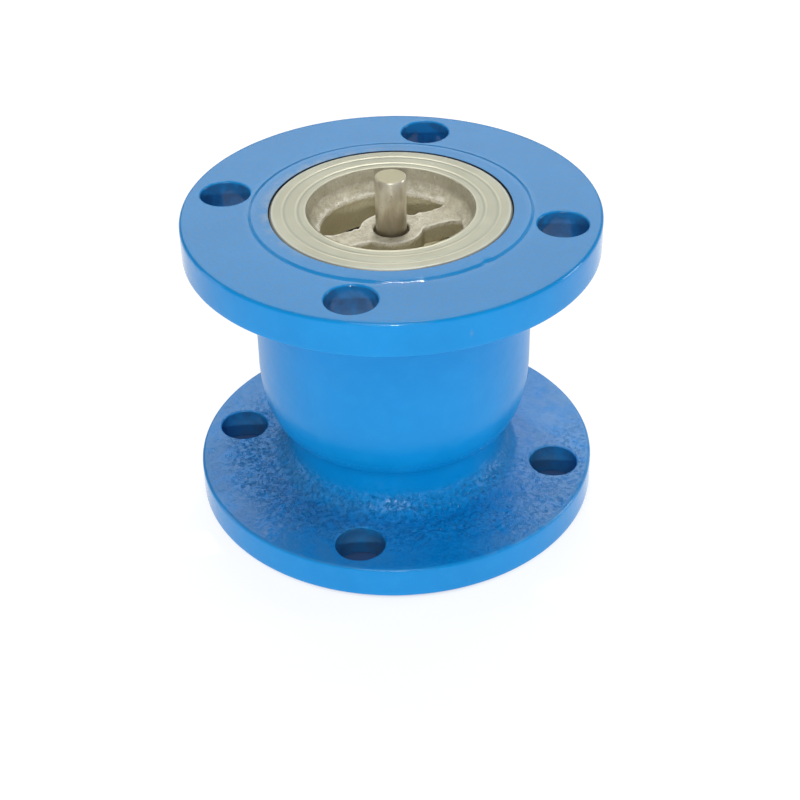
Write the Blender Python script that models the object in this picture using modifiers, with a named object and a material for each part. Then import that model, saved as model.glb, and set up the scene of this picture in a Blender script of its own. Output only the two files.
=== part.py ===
"""Double-flanged silent check valve for a DN50 line, closed, as separate pieces.

Metres, +Z up the flow axis. The origin is the centre of the outlet raised face, so the inlet raised face
is at z = FACE_TO_FACE. Flow enters at the top, pushes the disc down off the seat ring's lip against the
closing spring, and leaves at the bottom. The disc and stem slide along Z in two guides and turn freely.
"""

import math

import bmesh
import bpy
from mathutils import Matrix

# ---------------------------------------------------------------- overall
FACE_TO_FACE = 0.120
SEAT_BORE = 0.053  # throat of the seat ring, level with its guide arms
LIFT = 0.015  # disc travel, from the seat to the stop
GAP = 0.0003  # clearance between pieces that touch or slide

# ---------------------------------------------------------------- valve body
BODY_WALL = 0.0065
FLOW_GAP = 0.010  # disc rim to chamber wall
FLANGE_THICKNESS = 0.0126  # behind the raised face
RAISED_FACE = 0.0015
RAISED_LAND = 0.0065  # width of the inlet raised face round the seat ring
BOLT_COUNT = 4
BOLT_HOLE = 0.018
BOLT_TO_BODY = 0.002  # from the body's side to the edge of a bolt hole
BOLT_TO_RIM = 0.014  # from a bolt hole's centre to the flange's rim
RIM_CHAMFER = 0.0008
FLANGE_FILLET = 0.003  # body side to the underside of the inlet flange
BOWL_TOP = 0.044  # where the body's side starts to curve in, above the outlet flange
BOWL_DEPTH = 0.0265  # height of that curve
NECK_WALL = 0.0075
NECK_FLARE = 0.008  # radius of the neck's foot on the outlet flange
CHAMBER_SHOULDER = 0.008  # height of the cone that closes the chamber's top

# ---------------------------------------------------------------- seat ring and its seals
RING_GAP = 0.0007  # seat ring to the body's recess, all round
RING_LEDGE = 0.0071  # seat ring's flange beyond its barrel
RING_FLANGE = 0.008
RING_WALL = 0.0102  # barrel wall at the throat
RING_CHAMFER = 0.0006
FACE_FLARE = 0.004  # how much wider the bore is at the face than at the throat
SEAT_DEPTH = 0.0215  # inlet face down to the seat's lip
LIP_CHAMFER = 0.0015
LIP_WIDTH = 0.003
BARREL_LENGTH = 0.0084  # straight barrel below the seat ring's flange
GASKET_THICKNESS = 0.0012
ORING_GROOVE = 0.002  # depth in the barrel
ORING_SPACE = 0.003  # gasket side of the barrel to the groove's top edge

# ---------------------------------------------------------------- seat ring's stem guide
ARM_ANGLE = math.radians(-7.1)
ARM_DROP = 0.0086  # inlet face down to the top of the arms
ARM_WIDTH = 0.0106
ARM_DEPTH = 0.007
ARM_ROOT = 0.002  # how far the arms run into the ring's wall
HUB_DIAMETER = 0.023
HUB_LENGTH = 0.0101
HUB_LIP = 0.003  # full-thickness top of the hub, over the bush
HUB_EASE = 0.0009  # radial clearance of the stem in that top
BUSH_WALL = 0.0017

# ---------------------------------------------------------------- stem
STEM_DIAMETER = 0.0114
STEM_PROUD = 0.0127  # above the inlet face
STEM_CHAMFER = 0.0005
COLLAR_STEP = 0.0033  # collar beyond the stem, on the radius
COLLAR_THICKNESS = 0.0024
TAIL_STEP = 0.0007  # lower stem under the collar, less on the radius
TAIL_BELOW_GUIDE = 0.002  # stem's foot below the outlet guide, valve closed

# ---------------------------------------------------------------- disc
SEAL_MARGIN = 0.0015  # rubber beyond the lip, each side
SEAL_BEAD = 0.0032  # height of the rubber above its clamped lip
SEAL_LIP_WIDTH = 0.0028
SEAL_LIP_THICKNESS = 0.0024
DISC_RIM = 0.0022
DISC_RIM_DROP = 0.0022  # disc rim below the rubber's face
DISC_WEB = 0.0065
DISC_CHAMFER = 0.003
BOSS_STEP = 0.0015  # disc's top boss beyond the stem's collar
UNDER_BOSS_HEIGHT = 0.0045
SCREW_COUNT = 4
SCREW_DIAMETER = 0.004
SCREW_HEAD = 0.008
SCREW_SKIN = 0.0009  # retainer left over the screws' tips
SCREW_EDGE = 0.0002  # straight rim of the countersunk head
SCREW_CIRCLE_INSET = 0.008  # retainer's rim to the screws' circle

# ---------------------------------------------------------------- clamping stack under the disc
WASHER_RIM = 0.0045
WASHER_THICKNESS = 0.0015
LOCK_WIDTH = 0.0033
LOCK_THICKNESS = 0.0019
LOCK_SLIT = 0.0012
NUT_WALL = 0.0027  # thinnest wall, at the flats
NUT_HEIGHT = 0.005

# ---------------------------------------------------------------- spring and its seats
SPRING_WIRE = 0.002
SPRING_PITCH = 0.0044
SPRING_END_PITCH = 1.04  # end coils' pitch, in wire diameters
SPRING_POINTS = 16  # points a turn
SPRING_EASE = 0.0003  # spring's inside to its seats' lips
SEAT_PLATE = 0.0015
SEAT_LIP_WALL = 0.0011
SEAT_LIP_HEIGHT = 0.0025
SEAT_BRIM = 0.001  # plate beyond the spring's outside
NUT_ROOM = 0.0006  # clamping stack to the upper seat's bore, beyond the gap

# ---------------------------------------------------------------- outlet guide
OUTLET_STEP = 0.0035  # outlet bore beyond the throat, on the radius
GUIDE_LEDGE = 0.0037  # shoulder in the neck that carries the guide
GUIDE_SHELF = 0.022  # that shoulder, above the outlet face
GUIDE_RING_HEIGHT = 0.0077
GUIDE_RIBS = 3
GUIDE_RIB_WIDTH = 0.005
GUIDE_RIB_INSET = 0.0006  # ribs short of the guide ring's faces
GUIDE_HUB_HEIGHT = 0.0157  # up to the spring's shelf
GUIDE_HUB_WALL = 0.0032  # round the bush
GUIDE_BUSH_STOP = 0.0022  # floor under the bush
GUIDE_BUSH_RECESS = 0.0005  # bush below the stop face
SNAP_THICKNESS = 0.0016
SNAP_GROOVE = 0.0016
SNAP_WIDTH = 0.0038
SNAP_OPENING = 0.014
NECK_LAND = 0.0005  # straight bore above the snap ring's groove

# ---------------------------------------------------------------- radii, worked out from the throat outwards
throat_r = SEAT_BORE / 2
face_bore_r = throat_r + FACE_FLARE
lip_inner_r = throat_r + LIP_CHAMFER
lip_outer_r = lip_inner_r + LIP_WIDTH
barrel_r = throat_r + RING_WALL
ring_r = barrel_r + RING_LEDGE
recess_r = ring_r + RING_GAP
raised_r = recess_r + RAISED_LAND
seal_inner_r = lip_inner_r - SEAL_MARGIN
seal_outer_r = lip_outer_r + SEAL_MARGIN
disc_r = seal_outer_r + GAP + DISC_RIM
chamber_r = disc_r + FLOW_GAP
body_r = chamber_r + BODY_WALL
bolt_circle_r = body_r + BOLT_TO_BODY + BOLT_HOLE / 2
flange_r = bolt_circle_r + BOLT_TO_RIM
outlet_r = throat_r + OUTLET_STEP
guide_r = outlet_r + GUIDE_LEDGE
neck_bore_r = guide_r + GAP
neck_r = neck_bore_r + NECK_WALL

stem_r = STEM_DIAMETER / 2
tail_r = stem_r - TAIL_STEP
collar_r = stem_r + COLLAR_STEP
clamp_bore_r = tail_r + GAP
boss_r = collar_r + BOSS_STEP
retainer_bore_r = boss_r + GAP
retainer_r = seal_inner_r - GAP
screw_circle_r = retainer_r - SCREW_CIRCLE_INSET
nut_corner_r = (clamp_bore_r + NUT_WALL) / math.cos(math.pi / 6)
stack_r = max(nut_corner_r, clamp_bore_r + WASHER_RIM)
spring_seat_bore_r = stack_r + GAP + NUT_ROOM
spring_lip_r = spring_seat_bore_r + SEAT_LIP_WALL
spring_r = spring_lip_r + SPRING_EASE + SPRING_WIRE / 2
spring_brim_r = spring_r + SPRING_WIRE / 2 + SEAT_BRIM
under_boss_r = spring_brim_r + GAP
guide_bush_r = tail_r + GAP + BUSH_WALL
guide_stop_r = guide_bush_r + GAP + GUIDE_HUB_WALL
guide_hub_r = spring_brim_r + GAP

# ---------------------------------------------------------------- heights, from the inlet face down
inlet_flange_z = FACE_TO_FACE - RAISED_FACE
inlet_under_z = inlet_flange_z - FLANGE_THICKNESS
ring_under_z = FACE_TO_FACE - RING_FLANGE
gasket_top_z = ring_under_z - GAP
gasket_under_z = gasket_top_z - GASKET_THICKNESS
recess_z = gasket_under_z - GAP
arm_top_z = FACE_TO_FACE - ARM_DROP
hub_under_z = arm_top_z - HUB_LENGTH
lip_z = FACE_TO_FACE - SEAT_DEPTH
barrel_end_z = ring_under_z - BARREL_LENGTH

# ---------------------------------------------------------------- heights, from the outlet face up
outlet_flange_z = RAISED_FACE + FLANGE_THICKNESS
guide_under_z = GUIDE_SHELF + GAP
guide_ring_z = guide_under_z + GUIDE_RING_HEIGHT
snap_z = guide_ring_z + 2 * GAP
neck_top_z = snap_z + SNAP_THICKNESS + GAP + NECK_LAND
spring_shelf_z = guide_under_z + GUIDE_HUB_HEIGHT
lower_seat_z = spring_shelf_z + GAP
spring_foot_z = lower_seat_z + SEAT_PLATE + GAP
bowl_top_z = outlet_flange_z + BOWL_TOP

# ---------------------------------------------------------------- disc and stem, heights below the seat's lip
seal_top = -GAP
seal_step = seal_top - SEAL_BEAD
seal_under = seal_step - SEAL_LIP_THICKNESS
disc_face = seal_step
retainer_under = seal_step + GAP
retainer_top = seal_top - GAP
boss_top = retainer_top
collar_under = boss_top + GAP
collar_top = collar_under + COLLAR_THICKNESS
web_under = disc_face - DISC_WEB
under_boss = web_under - UNDER_BOSS_HEIGHT
washer_under = under_boss - GAP - WASHER_THICKNESS
lock_under = washer_under - GAP - LOCK_THICKNESS
nut_under = lock_under - GAP - NUT_HEIGHT
upper_seat_under = under_boss - GAP - SEAT_PLATE
spring_head_z = lip_z + upper_seat_under - GAP
stop_z = lip_z + nut_under - LIFT - GAP
stem_foot = guide_under_z - TAIL_BELOW_GUIDE - lip_z
stem_top = FACE_TO_FACE + STEM_PROUD - lip_z

ROUND = 44  # facets round the large pieces
SMALL_ROUND = 28  # facets round the small ones


# ================================================================ helpers
def clear_scene():
    for obj in list(bpy.data.objects):
        bpy.data.objects.remove(obj, do_unlink=True)


def collection(name, drawn=True):
    made = bpy.data.collections.new(name)
    bpy.context.scene.collection.children.link(made)
    made.hide_render = not drawn
    return made


def material(name, colour, roughness, metallic):
    made = bpy.data.materials.new(name)
    made.use_nodes = True
    shader = made.node_tree.nodes["Principled BSDF"]
    shader.inputs["Base Color"].default_value = (*colour, 1.0)
    shader.inputs["Roughness"].default_value = roughness
    shader.inputs["Metallic"].default_value = metallic
    made.diffuse_color = (*colour, 1.0)
    return made


def add_object(name, mesh, look=None, parent=None, location=(0, 0, 0)):
    """A part when it has a look, and otherwise a hidden cutter or joining shape."""
    obj = bpy.data.objects.new(name, mesh)
    obj.location = location
    obj.parent = parent
    if look:
        PARTS.objects.link(obj)
        mesh.materials.append(look)
        mesh.shade_smooth()
        mesh.set_sharp_from_angle(angle=math.radians(35))
    else:
        CUTTERS.objects.link(obj)
        obj.hide_render = True
        obj.display_type = "WIRE"
    return obj


def arc(centre, radii, start, end, steps):
    """Points (r, z) of an elliptical arc, angles in degrees from +r towards +z."""
    points = []
    for step in range(steps + 1):
        angle = math.radians(start + (end - start) * step / steps)
        points.append((centre[0] + radii[0] * math.cos(angle), centre[1] + radii[1] * math.sin(angle)))
    return points


def turned(name, outline, look=None, facets=SMALL_ROUND, open_ends=False, parent=None, at=0.0):
    """Turns (r, z) points about Z. They run down the outside and back up the bore, as a closed loop.
    With open_ends they start and end on the axis instead."""
    mesh = bpy.data.meshes.new(name)
    edges = [(i, i + 1) for i in range(len(outline) - 1)]
    if not open_ends:
        edges.append((len(outline) - 1, 0))
    mesh.from_pydata([(r, 0.0, z) for r, z in outline], edges, [])
    obj = add_object(name, mesh, look, parent, (0, 0, at))
    screw = obj.modifiers.new("Turn", "SCREW")
    screw.axis = "Z"
    screw.angle = math.tau
    screw.steps = facets
    screw.render_steps = facets
    screw.use_smooth_shade = True
    screw.use_merge_vertices = True
    screw.merge_threshold = 0.00001
    return obj


def ring(name, inner_r, outer_r, height, look=None, facets=SMALL_ROUND, parent=None, at=0.0):
    outline = [(inner_r, height), (outer_r, height), (outer_r, 0.0), (inner_r, 0.0)]
    return turned(name, outline, look, facets, parent=parent, at=at)


def cylinder(name, radius, low, high, centre=(0.0, 0.0), facets=SMALL_ROUND, look=None, parent=None):
    mesh = bpy.data.meshes.new(name)
    bm = bmesh.new()
    bmesh.ops.create_cone(
        bm, cap_ends=True, segments=facets, radius1=radius, radius2=radius, depth=high - low
    )
    bm.to_mesh(mesh)
    bm.free()
    return add_object(name, mesh, look, parent, (*centre, (low + high) / 2))


def block(name, size, centre, turn=0.0, parent=None):
    mesh = bpy.data.meshes.new(name)
    bm = bmesh.new()
    bmesh.ops.create_cube(bm, size=1.0, matrix=Matrix.Diagonal((*size, 1.0)))
    bm.to_mesh(mesh)
    bm.free()
    obj = add_object(name, mesh, None, parent, centre)
    obj.rotation_euler.z = turn
    return obj


def boolean(target, tool, operation="DIFFERENCE"):
    modifier = target.modifiers.new(tool.name, "BOOLEAN")
    modifier.operation = operation
    modifier.solver = "EXACT"
    modifier.object = tool


def around(count, radius, first=0.0):
    """Centres (x, y) of a circular pattern."""
    angles = [first + math.tau * i / count for i in range(count)]
    return [(radius * math.cos(a), radius * math.sin(a)) for a in angles]


# ================================================================ pieces fixed to the pipe
def make_valve_body(look):
    """One casting: two drilled flanges, the bulged chamber and the neck, with a recess for the seat ring."""
    c = RIM_CHAMFER
    inlet_flange = [
        (recess_r, FACE_TO_FACE),
        (raised_r - c, FACE_TO_FACE),
        (raised_r, FACE_TO_FACE - c),
        (raised_r, inlet_flange_z),
        (flange_r - c, inlet_flange_z),
        (flange_r, inlet_flange_z - c),
        (flange_r, inlet_under_z + c),
        (flange_r - c, inlet_under_z),
    ]
    fillet_z = inlet_under_z - FLANGE_FILLET
    fillet_centre = (body_r + FLANGE_FILLET, fillet_z)
    under_fillet = arc(fillet_centre, (FLANGE_FILLET, FLANGE_FILLET), 90, 180, 3)
    bowl = arc((neck_r, bowl_top_z), (body_r - neck_r, BOWL_DEPTH), 0, -90, 6)
    foot_z = outlet_flange_z + NECK_FLARE
    foot = arc((neck_r + NECK_FLARE, foot_z), (NECK_FLARE, NECK_FLARE), 180, 270, 4)
    outlet_flange = [
        (flange_r - c, outlet_flange_z),
        (flange_r, outlet_flange_z - c),
        (flange_r, RAISED_FACE + c),
        (flange_r - c, RAISED_FACE),
        (raised_r, RAISED_FACE),
        (raised_r, c),
        (raised_r - c, 0.0),
        (outlet_r, 0.0),
    ]
    groove_r = neck_bore_r + SNAP_GROOVE
    groove_z = snap_z - GAP
    bore = [
        (outlet_r, GUIDE_SHELF),
        (neck_bore_r, GUIDE_SHELF),
        (neck_bore_r, groove_z),
        (groove_r, groove_z),
        (groove_r, neck_top_z - NECK_LAND),
        (neck_bore_r, neck_top_z - NECK_LAND),
    ]
    chamber_rise = bowl_top_z - neck_top_z
    chamber = arc((neck_bore_r, bowl_top_z), (chamber_r - neck_bore_r, chamber_rise), -90, 0, 5)
    barrel_bore_r = barrel_r + GAP
    shoulder_z = barrel_end_z - GAP
    inlet = [
        (chamber_r, shoulder_z - CHAMBER_SHOULDER),
        (barrel_bore_r, shoulder_z),
        (barrel_bore_r, recess_z),
        (recess_r, recess_z),
    ]
    outline = inlet_flange + under_fillet + bowl + foot + outlet_flange + bore + chamber + inlet
    body = turned("valve_body", outline, look, ROUND)
    for i, centre in enumerate(around(BOLT_COUNT, bolt_circle_r, math.pi / BOLT_COUNT)):
        hole = cylinder(f"bolt_hole_{i + 1}", BOLT_HOLE / 2, -BOLT_HOLE, FACE_TO_FACE + BOLT_HOLE, centre, 24)
        boolean(body, hole)


def make_seat_ring(look):
    """Flange, barrel and lip in one, with the two-arm guide whose hub carries the upper bush."""
    top = 0.0
    under = ring_under_z - FACE_TO_FACE
    barrel_end = barrel_end_z - FACE_TO_FACE
    lip = lip_z - FACE_TO_FACE
    arm_top = -ARM_DROP
    groove_top = under - ORING_SPACE
    groove_height = ORING_GROOVE + 3 * GAP
    outline = [
        (face_bore_r, top),
        (ring_r - RING_CHAMFER, top),
        (ring_r, top - RING_CHAMFER),
        (ring_r, under),
        (barrel_r, under),
        (barrel_r, groove_top),
        (barrel_r - ORING_GROOVE, groove_top),
        (barrel_r - ORING_GROOVE, groove_top - groove_height),
        (barrel_r, groove_top - groove_height),
        (barrel_r, barrel_end),
        (lip_outer_r, lip),
        (lip_inner_r, lip),
        (throat_r, lip + LIP_CHAMFER),
        (throat_r, arm_top),
    ]
    seat = turned("seat_ring", outline, look, ROUND, at=FACE_TO_FACE)
    arms = block(
        "guide_arms",
        (2 * (throat_r + ARM_ROOT), ARM_WIDTH, ARM_DEPTH),
        (0, 0, arm_top_z - ARM_DEPTH / 2),
        ARM_ANGLE,
    )
    hub = cylinder("guide_hub", HUB_DIAMETER / 2, hub_under_z, arm_top_z)
    boolean(seat, arms, "UNION")
    boolean(seat, hub, "UNION")
    pocket_r = stem_r + GAP + BUSH_WALL + GAP
    stem_hole = cylinder("stem_hole", stem_r + HUB_EASE, lip_z, FACE_TO_FACE)
    bush_pocket = cylinder("bush_pocket", pocket_r, lip_z, arm_top_z - HUB_LIP)
    boolean(seat, stem_hole)
    boolean(seat, bush_pocket)


def make_seat_seals(rubber, fibre):
    inner = barrel_r + GAP + RING_GAP
    ring("seat_gasket", inner, ring_r, GASKET_THICKNESS, fibre, ROUND, at=gasket_under_z)
    space = ORING_GROOVE + GAP
    cord_r = (space - 2 * GAP) / 2
    centre_r = barrel_r - ORING_GROOVE + GAP + cord_r
    centre_z = ring_under_z - ORING_SPACE - (ORING_GROOVE + 3 * GAP) / 2
    section = arc((centre_r, 0.0), (cord_r, cord_r), 90, -270, 8)[:-1]
    turned("seat_o_ring", section, rubber, ROUND, at=centre_z)


def make_upper_bush(look):
    inner = stem_r + GAP
    height = arm_top_z - HUB_LIP - GAP - hub_under_z
    ring("upper_guide_bush", inner, inner + BUSH_WALL, height, look, 24, at=hub_under_z)


def make_outlet_guide(look, bush_look, steel):
    """Ring on the neck's shoulder, ribs, and a hub whose upper length is the disc's stop."""
    hub_height = spring_shelf_z - guide_under_z
    stop_height = stop_z - guide_under_z
    floor_r = tail_r + HUB_EASE
    bush_floor = GUIDE_BUSH_STOP
    pocket_r = guide_bush_r + GAP
    hub = [
        (pocket_r, stop_height),
        (guide_stop_r, stop_height),
        (guide_stop_r, hub_height),
        (guide_hub_r, hub_height),
        (guide_hub_r, 0.0),
        (floor_r, 0.0),
        (floor_r, bush_floor),
        (pocket_r, bush_floor),
    ]
    spider = turned("guide_spider", hub, look, SMALL_ROUND, at=guide_under_z)
    rim = ring("guide_ring", outlet_r, guide_r, GUIDE_RING_HEIGHT, None, ROUND, at=guide_under_z)
    boolean(spider, rim, "UNION")
    rib_height = GUIDE_RING_HEIGHT - 2 * GUIDE_RIB_INSET
    inner = (pocket_r + guide_hub_r) / 2
    outer = (outlet_r + guide_r) / 2
    centres = around(GUIDE_RIBS, (inner + outer) / 2, math.pi / 2)
    for i, (x, y) in enumerate(centres):
        rib = block(
            f"guide_rib_{i + 1}",
            (outer - inner, GUIDE_RIB_WIDTH, rib_height),
            (x, y, guide_under_z + GUIDE_RING_HEIGHT / 2),
            math.atan2(y, x),
        )
        boolean(spider, rib, "UNION")
    bush_height = stop_height - GUIDE_BUSH_RECESS - bush_floor - GAP
    bush_at = guide_under_z + bush_floor + GAP
    ring("lower_guide_bush", tail_r + GAP, guide_bush_r, bush_height, bush_look, 24, at=bush_at)

    snap_r = neck_bore_r + SNAP_GROOVE - GAP
    snap = ring("guide_snap_ring", snap_r - SNAP_WIDTH, snap_r, SNAP_THICKNESS, steel, ROUND, at=snap_z)
    opening = block(
        "snap_ring_opening",
        (3 * SNAP_WIDTH, SNAP_OPENING, 3 * SNAP_THICKNESS),
        (snap_r, 0, snap_z + SNAP_THICKNESS / 2),
    )
    boolean(snap, opening)


def make_lower_spring_seat(look):
    outline = [
        (guide_stop_r + GAP, SEAT_PLATE + SEAT_LIP_HEIGHT),
        (spring_lip_r, SEAT_PLATE + SEAT_LIP_HEIGHT),
        (spring_lip_r, SEAT_PLATE),
        (spring_brim_r, SEAT_PLATE),
        (spring_brim_r, 0.0),
        (guide_stop_r + GAP, 0.0),
    ]
    turned("lower_spring_seat", outline, look, SMALL_ROUND, at=lower_seat_z)


def make_spring(look):
    """Round wire with one closed coil at each end, standing between its two seats."""
    wire_r = SPRING_WIRE / 2
    end_rise = SPRING_END_PITCH * SPRING_WIRE
    span = spring_head_z - spring_foot_z - 2 * wire_r
    active = max(2, round((span - 2 * end_rise) / SPRING_PITCH))
    steps = SPRING_POINTS * (active + 2)
    points = []
    for step in range(steps + 1):
        turn = step / SPRING_POINTS
        body_turn = min(max(turn - 1, 0), active)
        end_turn = min(turn, 1) + max(turn - 1 - active, 0)
        z = wire_r + end_rise * end_turn + (span - 2 * end_rise) * body_turn / active
        angle = math.tau * turn
        points.append((spring_r * math.cos(angle), spring_r * math.sin(angle), z))
    curve = bpy.data.curves.new("closing_spring", "CURVE")
    curve.dimensions = "3D"
    curve.bevel_depth = wire_r
    curve.bevel_resolution = 2
    curve.use_fill_caps = True
    spline = curve.splines.new("POLY")
    spline.points.add(len(points) - 1)
    for point, co in zip(spline.points, points):
        point.co = (*co, 1.0)
    curve.materials.append(look)
    obj = bpy.data.objects.new("closing_spring", curve)
    obj.location.z = spring_foot_z
    PARTS.objects.link(obj)


# ================================================================ pieces that lift with the disc
def make_upper_spring_seat(look, parent):
    outline = [
        (spring_seat_bore_r, 0.0),
        (spring_brim_r, 0.0),
        (spring_brim_r, -SEAT_PLATE),
        (spring_lip_r, -SEAT_PLATE),
        (spring_lip_r, -SEAT_PLATE - SEAT_LIP_HEIGHT),
        (spring_seat_bore_r, -SEAT_PLATE - SEAT_LIP_HEIGHT),
    ]
    turned("upper_spring_seat", outline, look, SMALL_ROUND, parent=parent, at=under_boss - GAP)


def make_stem(look, parent):
    outline = [
        (0.0, stem_top),
        (stem_r - STEM_CHAMFER, stem_top),
        (stem_r, stem_top - STEM_CHAMFER),
        (stem_r, collar_top),
        (collar_r, collar_top),
        (collar_r, collar_under),
        (tail_r, collar_under),
        (tail_r, stem_foot + STEM_CHAMFER),
        (tail_r - STEM_CHAMFER, stem_foot),
        (0.0, stem_foot),
    ]
    turned("stem", outline, look, 24, open_ends=True, parent=parent)


def make_disc(look, parent):
    groove_inner_r = seal_inner_r - SEAL_LIP_WIDTH - GAP
    groove_outer_r = seal_outer_r + GAP
    groove_floor = seal_under - GAP
    rim_top = seal_top - DISC_RIM_DROP
    outline = [
        (clamp_bore_r, boss_top),
        (boss_r, boss_top),
        (boss_r, disc_face),
        (groove_inner_r, disc_face),
        (groove_inner_r, groove_floor),
        (groove_outer_r, groove_floor),
        (groove_outer_r, rim_top),
        (disc_r, rim_top),
        (disc_r, web_under + DISC_CHAMFER),
        (disc_r - DISC_CHAMFER, web_under),
        (under_boss_r, web_under),
        (under_boss_r, under_boss),
        (clamp_bore_r, under_boss),
    ]
    turned("disc", outline, look, ROUND, parent=parent)


def make_disc_seal(look, parent):
    outline = [
        (seal_inner_r, seal_top),
        (seal_outer_r, seal_top),
        (seal_outer_r, seal_under),
        (seal_inner_r - SEAL_LIP_WIDTH, seal_under),
        (seal_inner_r - SEAL_LIP_WIDTH, seal_step),
        (seal_inner_r, seal_step),
    ]
    turned("disc_seal", outline, look, ROUND, parent=parent)


def countersunk_screw(name, parent, centre, grow=0.0, look=None):
    """A screw with its head flush in the disc's underside, or with grow the hole it sits in."""
    head_r = SCREW_HEAD / 2 + grow
    shank_r = SCREW_DIAMETER / 2 + grow
    head_face = web_under + GAP
    tip = retainer_top - SCREW_SKIN + grow
    outline = [
        (0.0, tip),
        (shank_r, tip),
        (shank_r, head_face + SCREW_EDGE + head_r - shank_r),
        (head_r, head_face + SCREW_EDGE),
        (head_r, head_face - 2 * grow),
        (0.0, head_face - 2 * grow),
    ]
    screw = turned(name, outline, look, 12, open_ends=True, parent=parent)
    screw.location = (*centre, 0.0)
    return screw


def make_seal_retainer(look, steel, parent):
    """Plate over the rubber's inner lip. Screws from under the disc hold it, so its face is plain."""
    height = retainer_top - retainer_under
    plate = ring(
        "seal_retainer", retainer_bore_r, retainer_r, height, look, ROUND, parent=parent, at=retainer_under
    )
    disc = bpy.data.objects["disc"]
    for i, centre in enumerate(around(SCREW_COUNT, screw_circle_r, math.pi / SCREW_COUNT)):
        hole = countersunk_screw(f"retainer_screw_hole_{i + 1}", parent, centre, GAP)
        boolean(disc, hole)
        boolean(plate, hole)
        countersunk_screw(f"retainer_screw_{i + 1}", parent, centre, look=steel)


def make_clamping_stack(steel, parent):
    outer = clamp_bore_r + WASHER_RIM
    ring("disc_washer", clamp_bore_r, outer, WASHER_THICKNESS, steel, parent=parent, at=washer_under)

    lock_r = clamp_bore_r + LOCK_WIDTH
    lock = ring("disc_lock_washer", clamp_bore_r, lock_r, LOCK_THICKNESS, steel, parent=parent, at=lock_under)
    slit = block(
        "lock_washer_slit",
        (3 * LOCK_WIDTH, LOCK_SLIT, 3 * LOCK_THICKNESS),
        (lock_r, 0, lock_under + LOCK_THICKNESS / 2),
        parent=parent,
    )
    boolean(lock, slit)

    nut = cylinder(
        "disc_nut", nut_corner_r, nut_under, nut_under + NUT_HEIGHT, facets=6, look=steel, parent=parent
    )
    bore = cylinder("nut_bore", clamp_bore_r, nut_under - NUT_HEIGHT, washer_under, parent=parent)
    boolean(nut, bore)


# ================================================================ assembly
clear_scene()
PARTS = collection("silent_check_valve")
CUTTERS = collection("cutters", drawn=False)

enamel = material("blue_enamel", (0.02, 0.27, 0.72), 0.28, 0.0)
brass = material("nickel_brass", (0.62, 0.58, 0.47), 0.34, 1.0)
bronze = material("bronze", (0.46, 0.36, 0.22), 0.42, 1.0)
stainless = material("stainless_steel", (0.52, 0.49, 0.42), 0.3, 1.0)
polymer = material("bush_polymer", (0.75, 0.73, 0.68), 0.5, 0.0)
nitrile = material("nitrile_rubber", (0.02, 0.02, 0.022), 0.7, 0.0)
gasket_fibre = material("gasket_fibre", (0.12, 0.2, 0.17), 0.85, 0.0)

make_valve_body(enamel)
make_seat_ring(brass)
make_seat_seals(nitrile, gasket_fibre)
make_upper_bush(polymer)
make_outlet_guide(bronze, polymer, stainless)
make_lower_spring_seat(stainless)
make_spring(stainless)

disc_carrier = bpy.data.objects.new("disc_carrier", None)
disc_carrier.location.z = lip_z
PARTS.objects.link(disc_carrier)

make_upper_spring_seat(stainless, disc_carrier)
make_stem(stainless, disc_carrier)
make_disc(bronze, disc_carrier)
make_disc_seal(nitrile, disc_carrier)
make_seal_retainer(bronze, stainless, disc_carrier)
make_clamping_stack(stainless, disc_carrier)
bpy.context.view_layer.update()
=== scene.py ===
"""Looks for the double-flanged silent check valve: fine meshes, materials, light and camera round the frame.

Metres, +Z up the flow axis. A corner is (r, z, radius) and a point is (r, z). Lists of them are turned
about Z, and run down the outside and back up the bore. Places that the frame's boxes give are read from them.
"""

import math

import bpy
from mathutils import Matrix, Vector, noise


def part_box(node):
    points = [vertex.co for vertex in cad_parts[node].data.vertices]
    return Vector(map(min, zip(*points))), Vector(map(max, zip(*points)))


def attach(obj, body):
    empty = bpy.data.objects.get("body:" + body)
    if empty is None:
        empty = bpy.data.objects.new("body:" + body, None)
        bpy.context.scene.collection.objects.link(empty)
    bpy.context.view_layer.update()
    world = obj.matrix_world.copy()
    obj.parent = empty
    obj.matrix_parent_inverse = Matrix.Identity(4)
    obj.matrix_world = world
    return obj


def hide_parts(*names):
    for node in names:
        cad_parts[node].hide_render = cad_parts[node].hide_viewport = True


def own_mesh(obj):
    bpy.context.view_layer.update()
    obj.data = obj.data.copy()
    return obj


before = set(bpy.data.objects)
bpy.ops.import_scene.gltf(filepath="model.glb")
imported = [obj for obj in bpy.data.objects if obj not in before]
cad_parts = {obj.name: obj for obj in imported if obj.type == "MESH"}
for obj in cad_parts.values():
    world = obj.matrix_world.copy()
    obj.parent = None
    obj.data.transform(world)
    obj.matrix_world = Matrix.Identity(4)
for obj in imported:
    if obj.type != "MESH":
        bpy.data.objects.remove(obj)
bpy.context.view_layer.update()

# ---- places from the frame
body_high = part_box("valve_body")[1]
ring_low, ring_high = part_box("seat_ring")
guide_low, guide_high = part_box("guide_spider")
stem_low, stem_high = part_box("stem")
disc_low, disc_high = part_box("disc")
gasket_low, gasket_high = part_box("seat_gasket")

flange_r = body_high.x
face_z = body_high.z
ring_r = ring_high.x
lip_z = ring_low.z
disc_r = disc_high.x
guide_r = guide_high.x
GAP = 0.0003  # clearance between neighbouring pieces

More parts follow.
